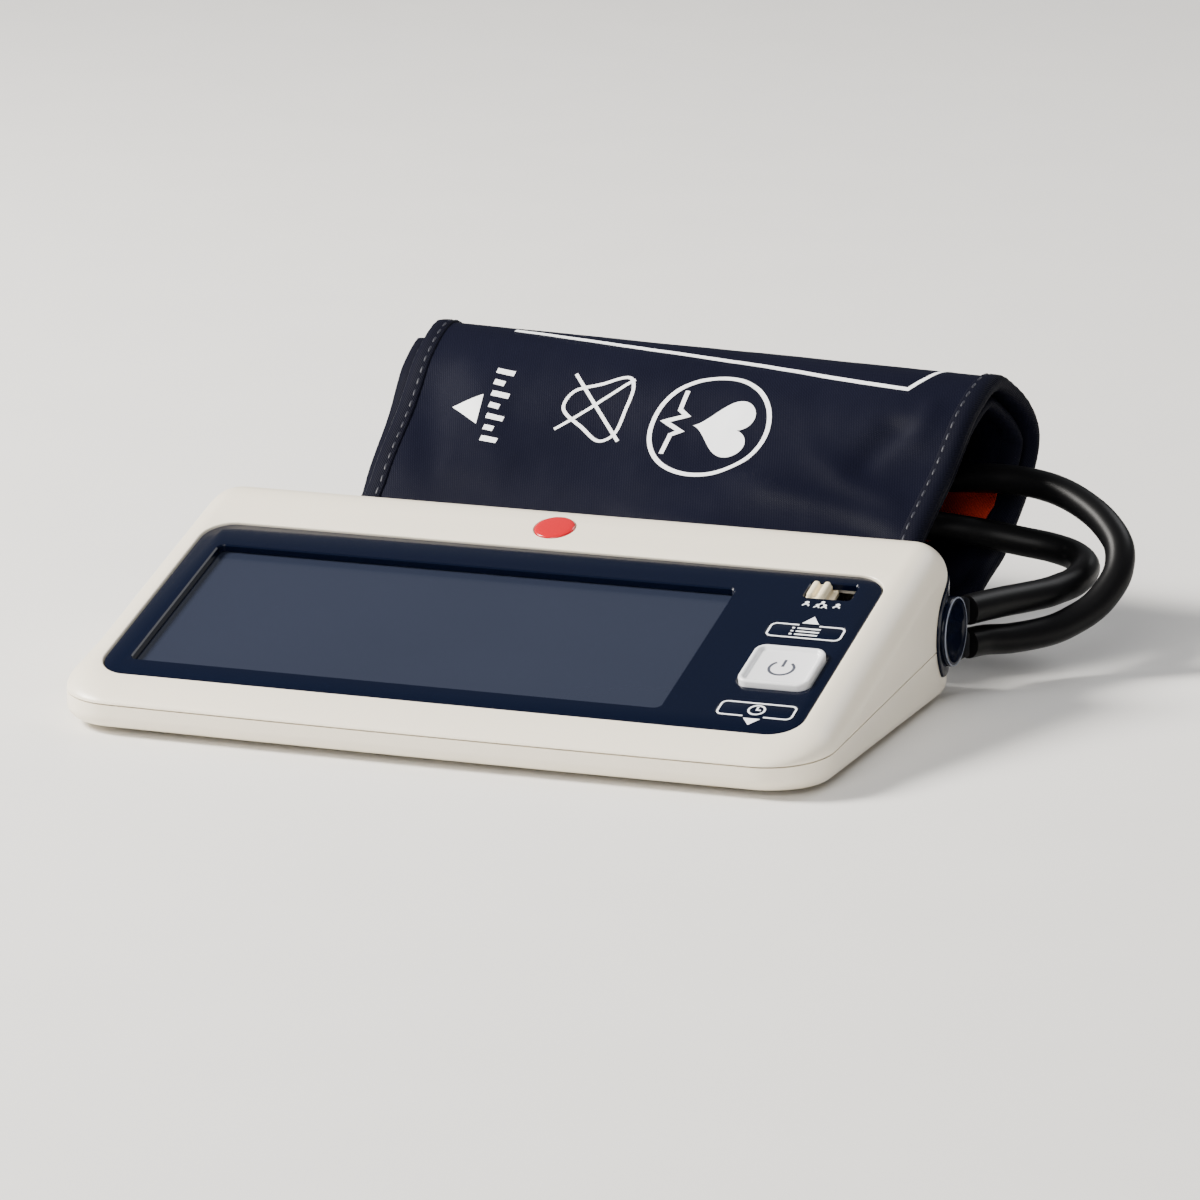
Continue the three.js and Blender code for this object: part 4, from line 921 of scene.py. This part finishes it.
# ------------------------------------------------------------------ cuff
ROLL_OUTLINE = [
    (0, 59), (-12.6, 54.3), (-25.3, 43.5), (-41, 31.5), (-50, 21), (-52, 11), (-47, 3), (-37, 0), (-24, 4.6),
    (-10.6, 12.6), (0, 17.5), (5.6, 22.6), (12.6, 29.4), (18.7, 40.5), (16.7, 47.7), (8.6, 55.4),
]
ROLL = smooth_path(ROLL_OUTLINE, closed=True, per_span=30)
ROLL = np.vstack([ROLL, ROLL[:1]])
ROLL_ARC = np.concatenate([[0], np.cumsum(np.linalg.norm(np.diff(ROLL, axis=0), axis=1))])
ROLL_LENGTH = ROLL_ARC[-1]


def roll_point(arc, inset):
    """(depth, height) at a distance round the roll from its ridge towards the front, moved inwards."""
    arc = arc % ROLL_LENGTH
    near = lambda a: np.array([np.interp(a % ROLL_LENGTH, ROLL_ARC, ROLL[:, k]) for k in (0, 1)])
    point = near(arc)
    tangent = near(arc + 0.7) - near(arc - 0.7)
    tangent /= np.linalg.norm(tangent)
    return point[0] - tangent[1] * inset, max(point[1] + tangent[0] * inset, inset)


ROLL_TABLE = {}


def roll_at(arc, inset):
    key = (round(arc, 3), round(inset, 3))
    if key not in ROLL_TABLE:
        ROLL_TABLE[key] = roll_point(arc, inset)
    return ROLL_TABLE[key]


def smoothstep(x, a, b):
    t = min(1.0, max(0.0, (x - a) / (b - a)))
    return t * t * (3 - 2 * t)


# Soft folds of the front: start and end (along the cuff, distance from the ridge), height and half width.
FOLDS = [
    ((67, 50), (18, 38), 1.15, 3.6), ((66, 44), (34, 27), 0.75, 3.0), ((62, 56), (-5, 53), 1.0, 3.4),
    ((58, 20), (52, 38), -1.25, 3.8), ((63, 12), (60, 30), 0.7, 3.0), ((66, 53), (30, 46), -0.9, 2.6),
    ((-60, 12), (-38, 52), 0.55, 6.0), ((-66, 20), (-52, 58), -0.6, 5.0), ((-20, 8), (6, 54), 0.35, 9.0),
    ((40, 8), (16, 50), -0.35, 8.0), ((-72, -16), (-30, -30), 0.6, 5.0), ((30, -20), (66, -36), 0.7, 4.0),
]


def wrinkle(x, arc):
    """How far the outer cloth stands proud of the plain roll."""
    arc = arc - ROLL_LENGTH if arc > ROLL_LENGTH * 0.62 else arc
    total = 0.0
    for (x0, a0), (x1, a1), height, half in FOLDS:
        dx, da = x1 - x0, a1 - a0
        size = math.hypot(dx, da)
        along = ((x - x0) * dx + (arc - a0) * da) / (size * size)
        across = ((x - x0) * -da + (arc - a0) * dx) / size
        bend = across + 1.6 * math.sin(along * math.pi) * (1 if height > 0 else -1)
        fade = smoothstep(along, -0.12, 0.12) * (1 - smoothstep(along, 0.6, 1.1))
        total += height * fade * math.exp(-(bend / half) ** 2)
    total += 0.55 * noise.noise(Vector((x * 0.028, arc * 0.035, 3.1)))
    total += 0.22 * noise.noise(Vector((x * 0.09, arc * 0.07, 8.4)))
    total += 0.10 * noise.noise(Vector((x * 0.25, arc * 0.22, 1.7)))
    return total * (0.35 + 0.65 * smoothstep(abs(arc), 2, 16))


def lean(x, arc, left0, left1):
    """Slant of the cuff's ends: how far a point is moved along the cuff."""
    arc = arc - ROLL_LENGTH if arc > ROLL_LENGTH * 0.62 else arc
    shift = smoothstep(-x, 20, 74) * (left0 + (left1 - left0) * min(1.2, max(0.0, arc / 44)))
    shift += smoothstep(x, 30, 74) * 1.9 * smoothstep(-arc, 4, 26)
    return shift


TABLE_GAP = 0.05
# Where each layer starts and ends, as shares of the roll's length from its ridge.
OUTER_SPAN, INNER_SPAN, BLADDER_SPAN = (0.47, 1.46), (0.8, 1.42), (0.82, 1.36)
LINING_SPAN, PATCH_SPAN = (0.69, 0.79), (0.49, 0.59)
OUTER_LEAN = (0.4, 5.4)
INNER_LEAN = (2.6, 9.0)


def outer_place(x, arc, lift):
    calm = min(1.0, max(0.0, (76 - abs(x)) / 8))
    s, z = roll_at(arc, -lift - wrinkle(x, arc) * (0.35 + 0.65 * calm))
    return on_cuff(x + lean(x, arc, *OUTER_LEAN), s, max(z, TABLE_GAP))


def packed_place(inset, thick, room):
    """Placer of a layer under the outer cloth, which gives way where a fold presses in."""
    def place(x, arc, lift):
        press = min(room, max(0.0, -wrinkle(x, arc)))
        depth = inset + thick - (thick - press) * (lift + thick) / thick
        s, z = roll_at(arc, depth)
        return on_cuff(x, s, z)
    return place


def cloth_piece(name, place, columns, rows, depth_low, depth_high, body, look, sharp=50.0):
    """Closed cloth band: place(x, arc, lift) over a grid, with rounded free edges."""
    verts, cloth, faces = [], [], []
    wide = len(columns)
    for level in (depth_high, depth_low):
        for r, arc in enumerate(rows):
            for c, x in enumerate(columns):
                near_end = min(r, len(rows) - 1 - r)
                pinch = (1.0, 0.45, 0.12, 0.0)[min(near_end, 3)] if len(rows) > 8 else 0.0
                middle = (depth_low + depth_high) / 2
                verts.append(place(x, arc, level + (middle - level) * pinch * 0.85))
                cloth.append((x, arc))
    size = wide * len(rows)
    index = lambda level, r, c: level * size + r * wide + c
    for r in range(len(rows) - 1):
        for c in range(wide - 1):
            faces.append((index(0, r, c), index(0, r, c + 1), index(0, r + 1, c + 1), index(0, r + 1, c)))
            faces.append((index(1, r, c), index(1, r + 1, c), index(1, r + 1, c + 1), index(1, r, c + 1)))
    for r in range(len(rows) - 1):
        for c in (0, wide - 1):
            faces.append((index(0, r, c), index(0, r + 1, c), index(1, r + 1, c), index(1, r, c)))
    for c in range(wide - 1):
        for r in (0, len(rows) - 1):
            faces.append((index(0, r, c), index(1, r, c), index(1, r, c + 1), index(0, r, c + 1)))
    return cloth_mesh(name, verts, faces, cloth, body, look, sharp)


def cloth_mesh(name, verts, faces, cloth, body, look, sharp=50.0):
    mesh = bpy.data.meshes.new(name)
    mesh.from_pydata([at(*v) for v in verts], [], faces)
    layer = mesh.uv_layers.new(name="cloth")
    for loop in mesh.loops:
        layer.data[loop.index].uv = cloth[loop.vertex_index]
    obj = put(name, mesh)
    work = bmesh.new()
    work.from_mesh(mesh)
    bmesh.ops.recalc_face_normals(work, faces=work.faces)
    work.to_mesh(mesh)
    work.free()
    mesh.shade_smooth()
    mesh.set_sharp_from_angle(angle=math.radians(sharp))
    dress(obj, look)
    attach(obj, body)
    return obj


def binding(name, place, side, edge, rows, low, high, body="cuff"):
    """Folded edge tape: a rounded band over the cloth's edge. side is -1 on the left and 1 on the right."""
    width, bulge = TAPE_WIDTH, TAPE_BULGE
    profile = [(0.0, low - 0.1), (0.25, low - bulge), (width * 0.5, low - bulge - 0.1),
        (width - 0.9, low - bulge), (width - 0.15, low + 0.5), (width, (low + high) / 2),
        (width - 0.15, high - 0.5), (width - 0.9, high + bulge), (width * 0.5, high + bulge + 0.12),
        (0.55, high + bulge), (0.2, high + bulge * 0.7), (0.0, high + 0.08)]
    verts, cloth = [], []
    count = len(profile)
    for arc in rows:
        for i, (reach, lift) in enumerate(profile):
            x = edge + side * (reach - width)
            verts.append(place(x, arc, lift + 0.06 * math.sin(arc * 2.1 + i)))
            cloth.append((reach + (i > 5) * 7, arc))
    faces = band_faces(len(rows), count)
    faces.append(tuple(range(count)))
    faces.append(tuple(range((len(rows) - 1) * count, len(rows) * count)))
    return cloth_mesh(name, verts, faces, cloth, body, TAPE)


def stitches(name, place, x_of, arcs, lift, body="cuff", length=1.9, radius=0.22):
    verts, faces = [], []
    for arc in arcs:
        if place(x_of(arc), arc, lift)[2] < 2.0:
            continue
        loops = []
        for t, scale in ((0, 0.35), (0.15, 0.9), (0.5, 1.0), (0.85, 0.9), (1, 0.35)):
            a = arc + t * length
            centre = np.array(place(x_of(a), a, lift))
            side = np.array(place(x_of(a) + 1.0, a, lift)) - centre
            up = np.array(place(x_of(a), a, lift + 1.0)) - centre
            side, up = side / np.linalg.norm(side), up / np.linalg.norm(up)
            ring = []
            for k in range(6):
                angle = 2 * math.pi * k / 6
                ring.append(centre + scale * radius * (1.5 * math.cos(angle) * side + math.sin(angle) * up))
            loops.append(ring)
        base = len(verts)
        for ring in loops:
            verts += ring
        for r in range(4):
            for k in range(6):
                m = (k + 1) % 6
                faces.append((base + 6 * r + k, base + 6 * r + m, base + 6 * r + 6 + m, base + 6 * r + 6 + k))
        faces += [tuple(base + k for k in range(5, -1, -1)), tuple(base + 24 + k for k in range(6))]
    return dress(make(name, [tuple(v) for v in verts], faces, body, 60.0), THREAD)


def spread(a, b, step):
    count = max(2, int(round(abs(b - a) / step)) + 1)
    return [a + (b - a) * i / (count - 1) for i in range(count)]


def rows_over(span, step):
    return spread(span[0] * ROLL_LENGTH, span[1] * ROLL_LENGTH, step)


def build_cuff():
    rows = rows_over(OUTER_SPAN, 1.5)
    wrap = cloth_piece("cuff_outer_cloth", outer_place, spread(-69.2, 69.2, 1.5), rows, -WRAP, 0.0,
        "cuff", NYLON)
    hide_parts("outer_wrap")
    left = binding("cuff_edge_tape_left", outer_place, -1, -74.0, rows, -WRAP, 0.0)
    right = binding("cuff_edge_tape_right", outer_place, 1, 74.0, rows, -WRAP, 0.0)
    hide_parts("outer_binding_left")
    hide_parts("outer_binding_right")
    seam = spread(OUTER_SPAN[0] * ROLL_LENGTH + 3, OUTER_SPAN[1] * ROLL_LENGTH - 5, 3.3)
    stitches("seam_stitches_left", outer_place, lambda a: -70.2, seam, 0.5)
    stitches("seam_stitches_right", outer_place, lambda a: 70.2, seam, 0.5)

    inset = WRAP + CLOTH_GAP + BLADDER_SHEET + CLOTH_GAP
    inner_rows = rows_over(INNER_SPAN, 1.5)

    def inner_place(x, arc, lift):
        ripple = 0.5 * noise.noise(Vector((x * 0.05, arc * 0.06, 5.5)))
        s, z = roll_at(arc, inset - lift - min(ripple, 0.15))
        return on_cuff(x + lean(x, arc, *INNER_LEAN), s, z)

    inner = cloth_piece("cuff_inner_cloth", inner_place, spread(-77.2, 67.2, 1.6), inner_rows,
        -INNER_WRAP, 0.0, "cuff", NYLON)
    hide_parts("inner_wrap")
    inner_left = binding("inner_edge_tape_left", inner_place, -1, -82.0, inner_rows, -INNER_WRAP, -0.4)
    inner_right = binding("inner_edge_tape_right", inner_place, 1, 72.0, inner_rows, -INNER_WRAP, -0.4)
    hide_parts("inner_binding_left")
    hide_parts("inner_binding_right")
    stitches("inner_stitches_left", inner_place, lambda a: -78.4,
        spread(inner_rows[0] + 3, inner_rows[-1] - 5, 3.3), 0.12)

    bladder = cloth_piece("bladder_sheet", packed_place(WRAP + CLOTH_GAP, BLADDER_SHEET, 1.1),
        spread(-62, 62, 2.0), rows_over(BLADDER_SPAN, 2.0), -BLADDER_SHEET, 0.0, "cuff",
        BLADDER)
    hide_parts("air_bladder")
    patch_rows = rows_over(PATCH_SPAN, 1.0)
    patch = cloth_piece("hook_tape_patch", packed_place(WRAP + CLOTH_GAP, PATCH_TAPE, 0.7),
        spread(-50, 50, 1.5), patch_rows, -PATCH_TAPE, 0.0, "cuff", HOOKS)
    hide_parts("hook_patch")

    def lining_place(x, arc, lift):
        share = (arc / ROLL_LENGTH - LINING_SPAN[0]) / 0.1
        ripple = 2.6 * abs(math.sin(x * 0.11 + 2.6 * share)) * smoothstep(x, 35, 66) + 0.5 * noise.noise(
            Vector((x * 0.08, arc * 0.16, 2.2)))
        s, z = roll_at(arc, WRAP + 0.55 - lift + max(0.0, ripple + 0.2))
        return on_cuff(x, s, z)

    lining_rows = rows_over(LINING_SPAN, 0.8)
    lining = cloth_piece("lining_cloth", lining_place, spread(-70, 70, 1.4), lining_rows, -0.5, 0.0,
        "cuff", LINING)
    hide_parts("red_lining")


build_cuff()


def build_cuff_marks():
    options = dict(low=-0.15, high=0.09)

    def mark(name, path, width, **more):
        ribbon(name, path, width, outer_place, "cuff", WHITE_INK, **options, **more)

    ridge = smooth_path([(-51.5, 1.2), (-13.5, 4.3), (21.5, 6.9), (55, 9.5)])
    mark("frame_line", [*map(tuple, ridge), (57.5, 4.6), (60.5, -3.0)], 1.15, step=1.0)
    fill("index_arrow", [(-58.5, 28.9), (-50.5, 24.8), (-49.5, 33.5)], outer_place, "cuff", WHITE_INK,
        **options)
    for i in range(7):
        arc = 17.4 + 3.35 * i
        x = -49.4 + 3.0 * i / 6
        mark("index_tick_%d" % (i + 1), [(x, arc), (x + (3.0 if i % 2 else 5.0), arc + 0.3)], 1.5, step=1.0)
    mark("cross_1", [(-28, 15.7), (-10, 33.5)], 0.85, step=1.0)
    mark("cross_2", [(-27.5, 31.9), (-12, 16)], 0.85, step=1.0)
    drop = smooth_path([(-27.6, 25.6), (-26.6, 21.0), (-20, 18.0), (-13.6, 15.6), (-11.6, 18.2),
        (-11.4, 25), (-12, 32.0), (-14.6, 34.0), (-20.5, 30.6)], closed=True, per_span=8)
    mark("crossed_shape", [tuple(p) for p in drop], 0.85, closed=True)
    mark("round_mark", circle(11.2, 26.8, 14.4, steps=120), 1.1, closed=True)
    # A plain heart beside a pulse line stands inside the ring.
    heart = []
    for i in range(72):
        t = 2 * math.pi * i / 72
        a = 16 * math.sin(t) ** 3
        b = 13 * math.cos(t) - 5 * math.cos(2 * t) - 2 * math.cos(3 * t) - math.cos(4 * t)
        heart.append((14.2 + 0.50 * (b + 2.5), 26.8 + 0.50 * a))
    star_fill("heart_mark", heart, (15.0, 26.8), outer_place, "cuff", WHITE_INK, **options)
    pulse = [(2.4, 17.6), (2.4, 23.0), (4.6, 24.4), (-0.4, 26.6), (4.4, 28.8), (2.4, 30.2), (2.4, 36.0)]
    mark("pulse_line", pulse, 1.1, step=1.0)


build_cuff_marks()


# ------------------------------------------------------------------ floor and light
def build_stage():
    size = 6.0
    mesh = bpy.data.meshes.new("floor")
    mesh.from_pydata([(-size, -size, 0), (size, -size, 0), (size, size, 0), (-size, size, 0)], [],
        [(0, 1, 2, 3)])
    floor = put("floor", mesh)
    dress(floor, moulded("floor paint", (0.80, 0.785, 0.755), 0.5, grain=60, bump=0.0, mottle=0.01,
        specular=0.25))
    world = bpy.data.worlds.new("studio")
    world.use_nodes = True
    world.node_tree.nodes["Background"].inputs["Color"].default_value = (0.95, 0.96, 1.0, 1)
    world.node_tree.nodes["Background"].inputs["Strength"].default_value = 0.26
    bpy.context.scene.world = world
    for name, place, target, size, power, color in (
        ("key", (-1.25, -0.35, 1.05), (0.0, 0.05, 0.0), 0.55, 92.0, (1.0, 0.97, 0.92)),
        ("front", (0.1, -1.9, 1.0), (0.0, 0.0, 0.0), 1.2, 30.0, (1.0, 0.99, 0.97)),
        ("back", (0.7, 1.2, 1.3), (0.0, 0.05, 0.0), 0.9, 14.0, (0.97, 0.98, 1.0)),
    ):
        data = bpy.data.lights.new(name, "AREA")
        data.size = size
        data.energy = power
        data.color = color
        lamp = put(name, data)
        lamp.location = place
        lamp.rotation_euler = (Vector(target) - Vector(place)).to_track_quat("-Z", "Y").to_euler()


build_stage()
